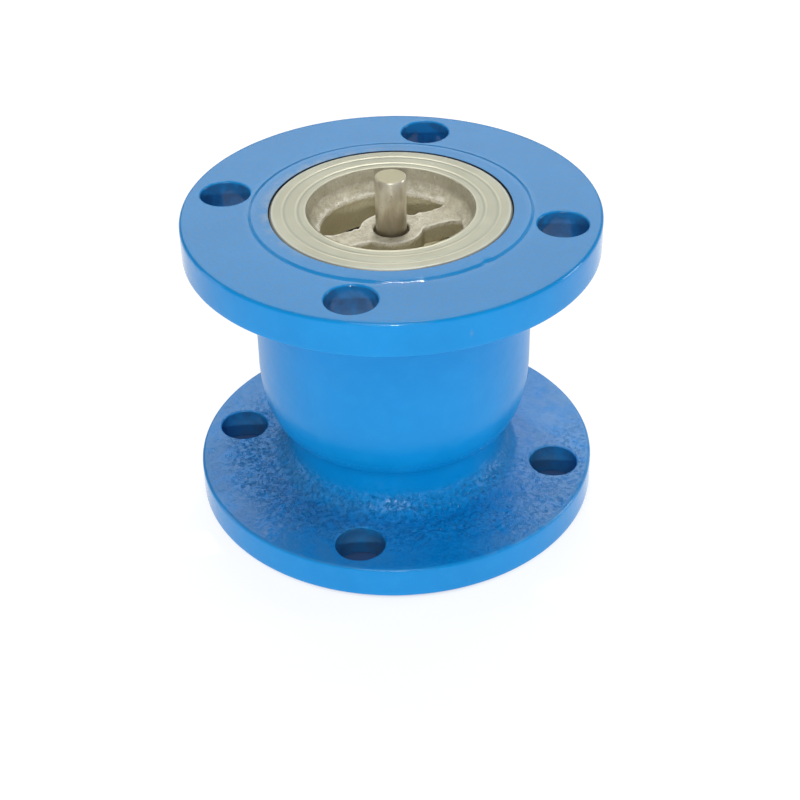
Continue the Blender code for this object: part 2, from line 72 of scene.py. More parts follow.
# ---- sizes of the body
RAISED_R = 0.051
RAISED_FACE = 0.0015
FLANGE_THICKNESS = 0.0126
RECESS_R = 0.0443
BODY_R = 0.0515
NECK_R = 0.0415
CHAMBER_R = 0.045
OUTLET_R = 0.030
NECK_BORE_R = 0.034
SNAP_GROOVE_R = 0.0356
SNAP_GROOVE_Z = (0.0303, 0.0325)
BOWL_TOP_Z = 0.0581
BOWL_DEPTH = 0.0265
NECK_TOP_Z = 0.033
BOLT_COUNT = 4
BOLT_CIRCLE_R = 0.0625
BOLT_HOLE_R = 0.009
PARTING_Z = 0.0827

# ---- sizes of the seat ring and the stem
FACE_BORE_R = 0.0305
THROAT_R = 0.0265
BARREL_R = 0.0367
BARREL_END_Z = 0.1036
LIP_R = 0.031
O_RING_GROOVE_R = 0.0347
O_RING_GROOVE_Z = (0.1061, 0.109)
ARM_TOP_Z = 0.1114
ARM_DEPTH = 0.007
ARM_WIDTH = 0.0106
ARM_ANGLE = math.radians(-7.1)
HUB_R = 0.0115
HUB_LENGTH = 0.0101
BUSH_POCKET_R = 0.008
STEM_R = 0.0057
TAIL_R = 0.005
COLLAR_R = 0.009
COLLAR_Z = (0.0982, 0.1006)

# ---- sizes of the disc and what it works with
DISC_WEB_Z = 0.0885
DISC_RIM_Z = 0.096
DISC_FACE_Z = 0.095
DISC_CHAMFER = 0.003
DISC_BOSS_R = 0.0105
SEAL_GROOVE = (0.0234, 0.0328, 0.0923)  # inside, outside, floor
SEAL_BEAD_R = 0.0265
SCREW_CIRCLE_R = 0.0182
SCREW_HEAD_R = 0.004
SCREW_SHANK_R = 0.002
SCREW_COUNT = 4
SPIGOT_R = 0.0154  # the step under the disc that the upper spring seat bears on
LOCK_WASHER_SLIT = [(0.004, -0.0006), (0.011, -0.0002), (0.011, 0.001), (0.004, 0.0006)]
GUIDE_BUSH_POCKET = (0.0073, 0.0245)  # radius, floor
GUIDE_SHELF = (0.0154, 0.038)  # radius and height of the hub's shelf for the spring
GUIDE_RING_TOP = 0.030
GUIDE_RIB_WIDTH = 0.005
GUIDE_HUB_R = 0.0105
SPRING_R = 0.0131
WIRE_R = 0.001
SPRING_TURNS = 10
SPRING_END_RISE = 0.00208

# Painted glints and painted shade: the lighter rings stand in for glints and the darker for the grooves'
# shade.
PAINTED_GLINT_AND_SHADE_RINGS = [  # radius, half width and colour of the turned face's lighter and darker rings
    (0.0312, 0.0006, (0.72, 0.69, 0.52)),
    (0.0337, 0.0005, (0.25, 0.25, 0.18)),
    (0.0345, 0.0005, (0.76, 0.73, 0.56)),
    (0.0388, 0.0004, (0.26, 0.27, 0.21)),
    (0.0395, 0.0005, (0.68, 0.66, 0.52)),
]
FACETS = 256  # round the body and the seat ring
INNER_FACETS = 144  # round the pieces inside
SHARP_ANGLE = math.radians(32)  # edges turned by more than this stay crisp
FRONT = math.radians(-122.1)  # where the camera stands, as an angle from +X


def towards(turn):
    """Unit vector from the axis, turned that many degrees from the front to the camera's right."""
    angle = FRONT + math.radians(turn)
    return Vector((math.cos(angle), math.sin(angle), 0.0))


# ======== meshes
def arc(centre, radii, start, end, steps):
    """Corners on an elliptical arc, angles in degrees from +r towards +z."""
    points = []
    for step in range(steps + 1):
        angle = math.radians(start + (end - start) * step / steps)
        points.append((centre[0] + radii[0] * math.cos(angle), centre[1] + radii[1] * math.sin(angle), 0.0))
    return points


def rounded(corners, steps=4):
    """(r, z) points of the outline, with an arc at each corner that has a radius."""
    outline = []
    for i, (r, z, radius) in enumerate(corners):
        here = Vector((r, z))
        if not radius:
            outline.append(here)
            continue
        back = (Vector(corners[i - 1][:2]) - here).normalized()
        ahead = (Vector(corners[(i + 1) % len(corners)][:2]) - here).normalized()
        half = back.angle(ahead) / 2
        centre = here + (back + ahead).normalized() * (radius / math.sin(half))
        start = here + back * (radius / math.tan(half)) - centre
        end = here + ahead * (radius / math.tan(half)) - centre
        sweep = math.pi - 2 * half
        for step in range(steps + 1):
            share = step / steps
            spoke = start * math.sin((1 - share) * sweep) + end * math.sin(share * sweep)
            outline.append(centre + spoke / math.sin(sweep))
    return outline


def spaced(outline, step, closed=True):
    """The outline with points added. No stretch is longer than step, a length or a function of (r, z)."""
    outline = [Vector(point[:2]) for point in outline]
    points = []
    count = len(outline) if closed else len(outline) - 1
    for i in range(count):
        start, end = outline[i], outline[(i + 1) % len(outline)]
        most = step(*((start + end) / 2)) if callable(step) else step
        parts = max(1, math.ceil((end - start).length / most))
        points += [start.lerp(end, part / parts) for part in range(parts)]
    if not closed:
        points.append(outline[-1])
    return points


def turned(name, outline, facets=INNER_FACETS, closed=True):
    """Mesh of an outline turned about Z. A point on the axis becomes one vertex."""
    spokes = [(math.cos(math.tau * i / facets), math.sin(math.tau * i / facets)) for i in range(facets)]
    vertices, rows = [], []
    for r, z in (Vector(point[:2]) for point in outline):
        if r < 1e-7:
            rows.append([len(vertices)] * facets)
            vertices.append((0.0, 0.0, z))
        else:
            rows.append(list(range(len(vertices), len(vertices) + facets)))
            vertices += [(r * c, r * s, z) for c, s in spokes]
    faces = []
    pairs = list(zip(rows, rows[1:])) + ([(rows[-1], rows[0])] if closed else [])
    for upper, lower in pairs:
        for i in range(facets):
            j = (i + 1) % facets
            if upper[0] == upper[1]:
                faces.append((upper[i], lower[i], lower[j]))
            elif lower[0] == lower[1]:
                faces.append((upper[i], lower[i], upper[j]))
            else:
                faces.append((upper[i], lower[i], lower[j], upper[j]))
    return listed(name, vertices, faces)


def put(name, data):
    """A new object in the scene."""
    obj = bpy.data.objects.new(name, data)
    bpy.context.scene.collection.objects.link(obj)
    return obj


def evaluated(mesh, modify):
    """The mesh after the modifiers that modify(object) adds, as a new mesh."""
    obj = put("shaping", mesh)
    modify(obj)
    graph = bpy.context.evaluated_depsgraph_get()
    made = bpy.data.meshes.new_from_object(obj.evaluated_get(graph))
    bpy.data.objects.remove(obj)
    return made


def combined(mesh, tools, operation="DIFFERENCE"):
    """The mesh with each tool mesh cut from it, joined to it, or shared with it."""
    helpers = []

    def add(obj):
        for tool in tools:
            helper = put("tool", tool)
            helpers.append(helper)
            modifier = obj.modifiers.new("Boolean", "BOOLEAN")
            modifier.solver = "MANIFOLD"
            modifier.operation = operation
            modifier.object = helper

    made = evaluated(mesh, add)
    for helper in helpers:
        bpy.data.objects.remove(helper)
    return made


def melted(mesh, voxel, smoothing):
    """The mesh rebuilt in small cells and relaxed, as a casting's soft corners."""

    def add(obj):
        remesh = obj.modifiers.new("Remesh", "REMESH")
        remesh.mode = "VOXEL"
        remesh.voxel_size = voxel
        smooth = obj.modifiers.new("Smooth", "SMOOTH")
        smooth.factor = 0.5
        smooth.iterations = smoothing

    return evaluated(mesh, add)


def moved(mesh, offset):
    """Moves every vertex by offset(point, normal), a vector."""
    points = [vertex.co.copy() for vertex in mesh.vertices]
    normals = [normal.vector.copy() for normal in mesh.vertex_normals]
    flat = []
    for point, normal in zip(points, normals):
        flat.extend(point + offset(point, normal))
    mesh.vertices.foreach_set("co", flat)
    mesh.update()
    return mesh


def marked(mesh, name, amount):
    """Stores amount(point, normal), a number, at every vertex, for a material to read."""
    values = [amount(vertex.co, normal.vector) for vertex, normal in zip(mesh.vertices, mesh.vertex_normals)]
    mesh.attributes.new(name, "FLOAT", "POINT").data.foreach_set("value", values)
    return mesh


def listed(name, vertices, faces):
    mesh = bpy.data.meshes.new(name)
    mesh.from_pydata(vertices, [], faces)
    return mesh


def shifted(mesh, x=0.0, y=0.0, z=0.0, turn=0.0):
    mesh.transform(Matrix.Translation((x, y, z)) @ Matrix.Rotation(turn, 4, "Z"))
    return mesh


def prism(name, outline, low, high):
    """A solid with a flat outline of (x, y) points, counterclockwise, between two heights."""
    count = len(outline)
    vertices = [(x, y, low) for x, y in outline] + [(x, y, high) for x, y in outline]
    faces = [tuple(reversed(range(count))), tuple(range(count, 2 * count))]
    for i in range(count):
        j = (i + 1) % count
        faces.append((i, j, count + j, count + i))
    return listed(name, vertices, faces)


def polygon(sides, radius, turn=0.0):
    return [
        (radius * math.cos(turn + math.tau * i / sides), radius * math.sin(turn + math.tau * i / sides))
        for i in range(sides)
    ]


def eased(value, low, high):
    """0 below low, 1 above high, smooth between."""
    share = min(max((value - low) / (high - low), 0.0), 1.0)
    return share * share * (3 - 2 * share)


def piece(name, mesh, look, body, node):
    """Puts a finished mesh in the scene in place of its CAD node."""
    obj = put(name, mesh)
    mesh.materials.clear()
    mesh.materials.append(look)
    mesh.shade_smooth()
    mesh.set_sharp_from_angle(angle=SHARP_ANGLE)
    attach(obj, body)
    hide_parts(node)
    return obj


# ======== material nodes
def wire(tree, socket, value):
    if isinstance(value, bpy.types.NodeSocket):
        tree.links.new(value, socket)
    else:
        socket.default_value = value


def added(tree, kind, inputs, **settings):
    """A new node with its settings made and its inputs wired."""
    node = tree.nodes.new("ShaderNode" + kind)
    for name, value in settings.items():
        setattr(node, name, value)
    for name, value in inputs.items():
        wire(tree, node.inputs[name], value)
    return node


def maths(tree, operation, a, b=0.0, clamp=False):
    return added(tree, "Math", {0: a, 1: b}, operation=operation, use_clamp=clamp).outputs[0]


def band(tree, value, low, high):
    """0 to 1 as value goes from low to high, or 1 to 0 where low is the greater."""
    flip = low > high
    span = {"From Min": min(low, high), "From Max": max(low, high)}
    ends = {"To Min": float(flip), "To Max": float(not flip)}
    inputs = {"Value": value, **span, **ends}
    return added(tree, "MapRange", inputs, interpolation_type="SMOOTHSTEP").outputs["Result"]


def both(tree, *masks):
    """The product of masks and numbers."""
    product = masks[0]
    for mask in masks[1:]:
        product = maths(tree, "MULTIPLY", product, mask)
    return product


def either(tree, *masks):
    """The greatest of the masks."""
    greatest = masks[0]
    for mask in masks[1:]:
        greatest = maths(tree, "MAXIMUM", greatest, mask)
    return greatest


def blended(tree, share, under, over):
    """Colour under where share is 0, and over where it is 1."""
    under, over = [
        colour if isinstance(colour, bpy.types.NodeSocket) else (*colour, 1.0) for colour in (under, over)
    ]
    return added(tree, "Mix", {0: share, 6: under, 7: over}, data_type="RGBA").outputs[2]


def mixed(tree, share, under, over):
    """A number that goes from under to over as share goes from 0 to 1."""
    return maths(tree, "ADD", under, maths(tree, "MULTIPLY", share, over - under))


def cloud(tree, where, scale, detail=4.0, roughness=0.55, distortion=0.0):
    """Noise from 0 to 1 about 0.5, its scale in lumps a metre."""
    kind = {"Scale": scale, "Detail": detail, "Roughness": roughness, "Distortion": distortion}
    return added(tree, "TexNoise", {"Vector": where, **kind}).outputs["Fac"]


def cells(tree, where, scale):
    """Distance from the nearest of scattered points, in cell widths."""
    return added(tree, "TexVoronoi", {"Vector": where, "Scale": scale}).outputs["Distance"]


def relief(tree, layers):
    """Bumps stacked from (height, depth in metres) pairs."""
    below = {}
    for height, depth in layers:
        bump = added(tree, "Bump", {"Strength": 1.0, "Distance": depth, "Height": height, **below})
        below = {"Normal": bump.outputs["Normal"]}
    return bump.outputs["Normal"]


class Finish:
    """A material being built: its tree, its colour so far, and the place on the surface."""

    def __init__(self, name, metallic=0.0, ior=1.5):
        self.material = bpy.data.materials.new(name)
        self.material.use_nodes = True
        self.tree = self.material.node_tree
        self.shader = self.tree.nodes["Principled BSDF"]
        self.shader.inputs["Metallic"].default_value = metallic
        self.shader.inputs["IOR"].default_value = ior
        self.where = self.tree.nodes.new("ShaderNodeTexCoord").outputs["Object"]
        self.x, self.y, self.z = added(self.tree, "SeparateXYZ", {0: self.where}).outputs
        squares = [maths(self.tree, "POWER", side, 2.0) for side in (self.x, self.y)]
        self.r = maths(self.tree, "SQRT", maths(self.tree, "ADD", *squares))
        geometry = self.tree.nodes.new("ShaderNodeNewGeometry")
        self.pointiness = geometry.outputs["Pointiness"]
        self.up = added(self.tree, "SeparateXYZ", {0: geometry.outputs["Normal"]}).outputs["Z"]

    def mark(self, name):
        """A number stored at the mesh's vertices by marked()."""
        return added(self.tree, "Attribute", {}, attribute_name=name).outputs["Fac"]

    def along(self, turn):
        """Distance from the axis in the direction that is turned from the front by that many degrees."""
        way = towards(turn)
        across = maths(self.tree, "MULTIPLY", self.x, way.x)
        return maths(self.tree, "ADD", across, maths(self.tree, "MULTIPLY", self.y, way.y))

    def stretched(self, x, y, z):
        """The point with its coordinates scaled, for streaks."""
        return added(self.tree, "Mapping", {"Vector": self.where, "Scale": (x, y, z)}).outputs["Vector"]

    def rings(self, spacing, wander=0.0):
        """Turning marks: a wave along the radius with its peaks that far apart."""
        radius = self.r
        if wander:
            wobble = maths(self.tree, "MULTIPLY", cloud(self.tree, self.where, 90), wander)
            radius = maths(self.tree, "ADD", radius, wobble)
        return maths(self.tree, "SINE", maths(self.tree, "MULTIPLY", radius, math.tau / spacing))

    def turns(self, spacing):
        """Turning marks round a shaft: a wave along the height."""
        return maths(self.tree, "SINE", maths(self.tree, "MULTIPLY", self.z, math.tau / spacing))

    def start(self, share, under, over):
        self.colour = blended(self.tree, share, under, over)

    def cover(self, share, tone):
        """Lays a colour over the colour so far."""
        self.colour = blended(self.tree, share, self.colour, tone)

    def done(self, roughness, layers=()):
        wire(self.tree, self.shader.inputs["Base Color"], self.colour)
        wire(self.tree, self.shader.inputs["Roughness"], roughness)
        if layers:
            self.tree.links.new(relief(self.tree, layers), self.shader.inputs["Normal"])
        return self.material


# ======== materials
def hole_walls(f):
    """1 on the walls of the bolt holes."""
    t = f.tree
    offsets = []
    for side in (f.x, f.y):
        offsets.append(maths(t, "SUBTRACT", maths(t, "ABSOLUTE", side), BOLT_CIRCLE_R * math.sqrt(0.5)))
    squares = [both(t, offset, offset) for offset in offsets]
    distance = maths(t, "SQRT", maths(t, "ADD", *squares))
    return both(t, band(t, distance, BOLT_HOLE_R + 0.0006, BOLT_HOLE_R), band(t, f.up, 0.7, 0.3))


def enamel_mottle_and_reflection(f, medium, fine, flat_inlet, cast):
    """Paler and greyer enamel: its mottle, a paler grey patch beside the seat ring, and a greyish painted
    reflection on the outlet flange's top at left and right.
    """
    t = f.tree
    f.cover(both(t, band(t, medium, 0.45, 0.8), cast, 0.25), (0.012, 0.31, 0.7))
    f.cover(both(t, flat_inlet, band(t, fine, 0.3, 0.7), 0.6), (0.035, 0.22, 0.46))
    near_ring = both(t, flat_inlet, band(t, f.r, RECESS_R + 0.0055, RECESS_R))
    blotches = band(t, cloud(t, f.where, 160, 5, 0.7), 0.3, 0.65)
    f.cover(both(t, near_ring, band(t, f.along(-115), 0.0, 0.04), blotches, 0.55), (0.32, 0.4, 0.48))
    # Painted reflection: greyer mottled tones on the outlet flange's top, at its left and right, stand in for
    # the pale surroundings reflected there.
    outlet_top = both(t, band(t, f.up, 0.35, 0.8), band(t, f.z, 0.03, 0.02))
    painted_reflection_mottle = band(t, medium, 0.2, 0.6)
    left = band(t, f.along(-70), 0.0, 0.05)
    f.cover(both(t, outlet_top, left, painted_reflection_mottle, 0.4), (0.08, 0.2, 0.36))
    right = band(t, f.along(80), 0.03, 0.065)
    f.cover(both(t, outlet_top, right, painted_reflection_mottle, 0.45), (0.2, 0.36, 0.56))


def enamel_wear(f, medium, inlet):
    """The rims' worn patch, bolt-hole walls darkened by thinner paint and painted shade, painted shade in the
    recess at the ring, and chipped edges with painted glints.
    """
    t = f.tree
    rim = both(t, band(t, f.r, flange_r - 0.0015, flange_r - 0.0006), band(t, f.up, 0.5, 0.2))
    patch = band(t, f.along(19.5), flange_r * 0.99935, flange_r * 0.9999)
    streaks = cloud(t, f.stretched(1.0, 1.0, 0.25), 500, 4, 0.7)
    f.cover(both(t, rim, patch, band(t, streaks, 0.35, 0.6), 0.7), (0.2, 0.29, 0.36))

    # Bolt-hole walls are darker and greyer, partly from thinner paint and partly as painted shade. The upper
    # part of each hole is painted darker still, as shade under its edge.
    thin_paint_and_painted_shade = both(t, hole_walls(f), maths(t, "ADD", 0.6, both(t, band(t, medium, 0.4, 0.6), 0.3)))
    deep_below = band(t, f.z, 0.0125, 0.007)
    deep_above = both(t, band(t, f.z, 0.105, 0.109), band(t, f.z, face_z - 0.009, face_z - 0.013))
    deep = either(t, deep_below, deep_above)
    f.cover(thin_paint_and_painted_shade, blended(t, deep, (0.022, 0.09, 0.22), (0.05, 0.15, 0.3)))
    # Painted shade: the recess wall beside the seat ring is darkened nearly to black, as shade in the narrow
    # gap.
    f.cover(both(t, inlet, band(t, f.r, RECESS_R + 0.00025, RECESS_R + 0.0001)), (0.012, 0.03, 0.06))
    # Paint chips and painted glints: pale grey flecks on sharp edges.
    chips_and_painted_glints = both(t, band(t, f.pointiness, 0.53, 0.57), band(t, cloud(t, f.where, 700, 4, 0.75), 0.62, 0.66))
    f.cover(both(t, chips_and_painted_glints, 0.8), (0.62, 0.66, 0.68))


def blue_enamel():
    """Gloss enamel on cast iron: smooth on the machined inlet face, lumpy and pitted on the rest."""
    f = Finish("blue_enamel", ior=1.34)
    t = f.tree
    broad = cloud(t, f.where, 30, 3)
    medium = cloud(t, f.where, 160, 4)
    fine = cloud(t, f.where, 900, 5, 0.6)
    inlet = band(t, f.z, face_z - 0.004, face_z - 0.0015)
    flat_inlet = both(t, inlet, band(t, f.up, 0.6, 0.9))
    cast = maths(t, "SUBTRACT", 1.0, flat_inlet)
    f.start(band(t, broad, 0.3, 0.7), (0.001, 0.24, 0.62), (0.002, 0.262, 0.67))
    enamel_mottle_and_reflection(f, medium, fine, flat_inlet, cast)

    # Painted shade: the enamel is darker in the casting's hollows and concave corners.
    painted_cavity_shade = both(t, cast, band(t, f.pointiness, 0.495, 0.46))
    f.cover(both(t, painted_cavity_shade, 0.3), (0.001, 0.16, 0.46))
    coarse = f.mark("coarse")
    sand = cloud(t, f.where, 620, 3, 0.6, 0.6)
    dents = both(t, band(t, cells(t, f.where, 380), 0.42, 0.1), band(t, broad, 0.4, 0.6))
    # Painted shade and painted highlight: on the coarse areas, sunk spots are painted darker and proud spots
    # lighter, standing in for the relief's shading. The sunk spots are also bumped in.
    pits_and_painted_shade = both(t, maths(t, "ADD", both(t, band(t, sand, 0.5, 0.64), 0.7), dents), coarse)
    f.cover(maths(t, "MULTIPLY", pits_and_painted_shade, 0.5, clamp=True), (0.002, 0.12, 0.36))
    painted_highlight_spots = both(t, band(t, sand, 0.44, 0.36), coarse)
    f.cover(both(t, painted_highlight_spots, 0.3), (0.06, 0.36, 0.78))
    enamel_wear(f, medium, inlet)

    roughness = maths(t, "ADD", 0.06, both(t, fine, 0.08))
    from_step = maths(t, "ABSOLUTE", maths(t, "SUBTRACT", f.r, RAISED_R))
    dull = both(t, flat_inlet, band(t, from_step, 0.0012, 0.0028))
    roughness = maths(t, "ADD", roughness, both(t, dull, 0.14))
    side = both(t, band(t, f.r, BODY_R + 0.002, BODY_R + 0.0005), band(t, f.z, 0.03, 0.04))
    side = both(t, side, maths(t, "SUBTRACT", 1.0, inlet))
    roughness = maths(t, "ADD", roughness, both(t, side, 0.2))

    lumps = cloud(t, f.where, 330, 2, 0.5)
    grain = cloud(t, f.where, 1300, 3, 0.6)
    foot = both(t, band(t, f.along(0), 0.028, 0.04), band(t, f.r, 0.054, 0.048))
    lumpy = maths(t, "ADD", 0.06, both(t, coarse, mixed(t, foot, 0.55, 0.4)))
    lumps_and_grain = maths(t, "ADD", lumps, both(t, grain, mixed(t, foot, 0.35, 0.05)))
    cast_relief = both(t, cast, lumpy, lumps_and_grain)
    peel = both(t, flat_inlet, fine)
    return f.done(roughness, [(cast_relief, 0.0011), (both(t, pits_and_painted_shade, -1.0), 0.0004), (peel, 0.00006)])


def cast_brass_colour(f, mottle, sand):
    """Sand-cast brass: painted shade on the bore's wall, painted light in the throat, and torn edges near
    white, partly fresh metal and partly a painted highlight.
    """
    t = f.tree
    f.start(band(t, mottle, 0.3, 0.7), (0.64, 0.6, 0.46), (0.84, 0.81, 0.66))
    f.cover(both(t, band(t, sand, 0.55, 0.66), 0.45), (0.3, 0.25, 0.16))
    # Painted shade: the bore's steep wall above the arms is darker than the upward faces.
    wall = both(t, band(t, f.up, 0.75, 0.4), band(t, f.z, ARM_TOP_Z + 0.002, ARM_TOP_Z + 0.0045))
    f.cover(both(t, wall, 0.6), (0.36, 0.33, 0.23))
    # Painted light: the faces just below the arms' tops are brightened to a warm pale tone, standing in for
    # light in the throat.
    throat = both(t, band(t, f.up, 0.6, 0.2), band(t, f.z, ARM_TOP_Z - 0.0002, ARM_TOP_Z - 0.001))
    f.cover(both(t, throat, 0.9), (0.6, 0.55, 0.38))
    # Torn edges are painted near white, partly fresh metal and partly a painted highlight.
    bright = both(t, f.mark("torn"), band(t, sand, 0.35, 0.5))
    f.cover(both(t, bright, 0.85), (0.98, 0.95, 0.84))
    return f.colour


def turned_brass_colour(f):
    """Turned brass with soft stains and rings, and painted glint and shade rings that are stronger at its two
    sides facing towards and away from the camera.
    """
    t = f.tree
    f.start(band(t, cloud(t, f.where, 60, 3), 0.3, 0.7), (0.35, 0.35, 0.265), (0.4, 0.4, 0.31))
    f.cover(both(t, band(t, f.rings(0.0047, 0.0008), 0.6, 1.0), 0.3), (0.3, 0.33, 0.27))
    # Painted highlight: a lighter grey band on the ring's outer chamfer.
    f.cover(both(t, band(t, f.r, ring_r - 0.0016, ring_r - 0.0006), 0.5), (0.55, 0.57, 0.52))
    # Painted glints and painted shade: these rings are made stronger where the face looks towards and away
    # from the camera.
    share = maths(t, "DIVIDE", maths(t, "ABSOLUTE", f.along(0)), f.r)
    strength = maths(t, "ADD", 0.15, both(t, band(t, share, 0.5, 0.95), 0.6))
    for radius, width, tone in PAINTED_GLINT_AND_SHADE_RINGS:
        near = maths(t, "ABSOLUTE", maths(t, "SUBTRACT", f.r, radius))
        f.cover(both(t, band(t, near, width, width * 0.4), strength), tone)
    return f.colour


def nickel_brass():
    """Turned faces with soft rings and painted glint and shade rings, and sand-cast bore and arms with bright
    torn edges, partly a painted highlight.
    """
    f = Finish("nickel_brass", metallic=0.5)
    t = f.tree
    ring_face = band(t, f.z, face_z - 0.0022, face_z - 0.0012)
    ring_face = both(t, ring_face, band(t, f.r, FACE_BORE_R - 0.0002, FACE_BORE_R + 0.0004))
    below = band(t, f.r, THROAT_R + 0.002, THROAT_R + 0.003)
    below = both(t, below, band(t, f.z, ARM_TOP_Z - 0.007, ARM_TOP_Z - 0.008))
    machined = either(t, ring_face, below, band(t, f.r, ring_r - 0.003, ring_r - 0.002))
    mottle = cloud(t, f.where, 260, 5, 0.65)
    sand = cloud(t, f.where, 1100, 4, 0.7)
    f.start(machined, cast_brass_colour(f, mottle, sand), turned_brass_colour(f))
    roughness = maths(t, "SUBTRACT", 0.6, both(t, machined, 0.2))
    marks = both(t, machined, f.rings(0.00035))
    rough_cast = both(t, maths(t, "SUBTRACT", 1.0, machined), maths(t, "ADD", mottle, sand))
    return f.done(roughness, [(rough_cast, 0.0007), (marks, 0.000008)])


def turned_steel(name, light, dark, roughness, spacing, metallic=1.0, end_face=None):
    """Turned or ground steel with fine marks round it, a little stained, and an end face of another tone.
    With an end face, the shaft is also painted darker below the seat ring's face, as shade in the bore.
    """
    f = Finish(name, metallic=metallic)
    t = f.tree
    f.start(band(t, cloud(t, f.stretched(1.0, 1.0, 0.4), 140, 5, 0.65), 0.35, 0.7), light, dark)
    smear = maths(t, "ADD", roughness, both(t, cloud(t, f.where, 500, 3), 0.12))
    if end_face:
        # Painted shade: the shaft is darker brown from just above the seat ring's face downwards, into the
        # bore.
        f.cover(both(t, band(t, f.z, face_z + 0.003, face_z - 0.007), 0.75), (0.2, 0.165, 0.11))
        on_end = band(t, f.up, 0.9, 0.99)
        f.cover(on_end, end_face)
        smear = maths(t, "ADD", smear, both(t, on_end, 0.2))
    marks = maths(t, "ADD", f.turns(spacing), f.rings(spacing * 1.3))
    scratches = cloud(t, f.stretched(1.0, 1.0, 9.0), 600, 3, 0.7)
    return f.done(smear, [(marks, 0.000006), (scratches, 0.00001)])


def bronze(name, light, dark, roughness, marks, grain_depth):
    """Dull olive bronze, lighter where its edges rub, turned where marks is 1."""
    f = Finish(name, metallic=0.3)
    t = f.tree
    tarnish = cloud(t, f.where, 110, 5, 0.65)
    f.start(band(t, tarnish, 0.3, 0.72), dark, light)
    f.cover(both(t, band(t, f.pointiness, 0.53, 0.58), 0.4), (0.72, 0.66, 0.47))
    smear = maths(t, "ADD", roughness, both(t, tarnish, 0.2))
    grain = cloud(t, f.where, 1400, 3, 0.65)
    return f.done(smear, [(f.rings(0.0004), 0.000006 * marks), (grain, grain_depth)])


def plain_finish(name, light, dark, roughness, scale, depth):
    """A mottled, grained surface, for rubber, fibre and bush polymer."""
    f = Finish(name)
    t = f.tree
    mottle = cloud(t, f.where, scale / 4, 4, 0.6)
    grain = cloud(t, f.where, scale, 4, 0.7)
    f.start(band(t, mottle, 0.3, 0.7), dark, light)
    smear = maths(t, "ADD", roughness, both(t, maths(t, "SUBTRACT", grain, 0.5), 0.2))
    return f.done(smear, [(grain, depth)])


def floor_finish():
    """A white light table, with a painted shadow where the valve stands on it: dark navy, with a faint navy
    glow.
    """
    f = Finish("studio_floor")
    t = f.tree
    lit = band(t, f.r, flange_r - 0.006, flange_r - 0.001)
    # Painted shadow: a dark navy patch with a faint navy glow under the valve's flange.
    f.start(lit, (0.03, 0.07, 0.16), (0.36, 0.36, 0.36))
    f.shader.inputs["Specular IOR Level"].default_value = 0.1
    t.links.new(blended(t, lit, (0.012, 0.03, 0.075), (0.77, 0.77, 0.77)), f.shader.inputs["Emission Color"])
    f.shader.inputs["Emission Strength"].default_value = 1.0
    return f.done(0.8)


ENAMEL = blue_enamel()
BRASS = nickel_brass()
# Painted reflection: the stem's steel is tinted beige and brown, standing in for the brass ring reflected in
# it.
BRASS_TINTED_STEM_STEEL = turned_steel(
    "stem_steel_painted_reflection", (0.86, 0.81, 0.67), (0.6, 0.52, 0.38), 0.24, 0.0003, 0.7, end_face=(0.36, 0.34, 0.23)
)
STEEL = turned_steel("stainless_steel", (0.6, 0.58, 0.53), (0.45, 0.43, 0.39), 0.3, 0.0004)
SPRING_STEEL = turned_steel("spring_steel", (0.55, 0.54, 0.5), (0.4, 0.39, 0.36), 0.28, 0.0007)
# Painted light: the bronze of the disc and its seal retainer is much paler than bronze, standing in for light
# reaching them deep in the bore.
BRIGHTENED_BRONZE = bronze("bronze", (0.9, 0.83, 0.58), (0.82, 0.75, 0.52), 0.5, 1, 0.00002)
CAST_BRONZE = bronze("cast_bronze", (0.44, 0.39, 0.25), (0.33, 0.29, 0.18), 0.5, 0, 0.0003)
RUBBER = plain_finish("nitrile_rubber", (0.03, 0.03, 0.032), (0.016, 0.016, 0.018), 0.65, 900, 0.00005)
FIBRE = plain_finish("gasket_fibre", (0.16, 0.25, 0.21), (0.08, 0.14, 0.12), 0.85, 1400, 0.00015)
POLYMER = plain_finish("bush_polymer", (0.78, 0.76, 0.7), (0.62, 0.59, 0.52), 0.5, 800, 0.00004)


# ======== body
def bolt_hole_cutter(x, y, low, high):
    """A bolt hole with a soft rolled edge at both ends."""
    roll = 0.0009
    beyond = 0.002
    wide = BOLT_HOLE_R + roll
    side = [
        (0.0, high + beyond),
        (wide, high + beyond),
        *arc((wide, high - roll), (roll, roll), 90, 180, 5),
        *arc((wide, low + roll), (roll, roll), 180, 270, 5),
        (wide, low - beyond),
        (0.0, low - beyond),
    ]
    return shifted(turned("bolt_hole", spaced(side, 0.0015, closed=False), 72, closed=False), x, y)


def coarseness(point, normal):
    """How rough the sand has left the outlet flange's top and the neck's foot, 0 to 1."""
    r = math.hypot(point.x, point.y)
    on_foot = eased(normal.z, -0.1, 0.6) * eased(0.033 - point.z, 0.0, 0.006)
    on_foot *= eased(flange_r - r, 0.0005, 0.002)
    front_left = eased(point.dot(towards(-40)), -0.012, 0.03) * eased(0.073 - r, 0.0, 0.018)
    neck = 0.9 * eased(0.052 - r, 0.0, 0.006) * eased(point.dot(towards(0)), -0.01, 0.03)
    right = 0.45 * eased(point.dot(towards(50)), 0.03, 0.06)
    return on_foot * max(0.15, front_left, neck, right)


def pitting(point, normal):
    """Depth of those marks, 0 to 1."""
    field = coarseness(point, normal)
    if field == 0:
        return 0.0
    lumps = 0.5 + 0.5 * noise.noise(point * 430)
    dimples = eased(0.45 - noise.voronoi(point * 300)[0][0], 0.0, 0.3)
    return field * (0.65 * lumps + 0.5 * dimples)


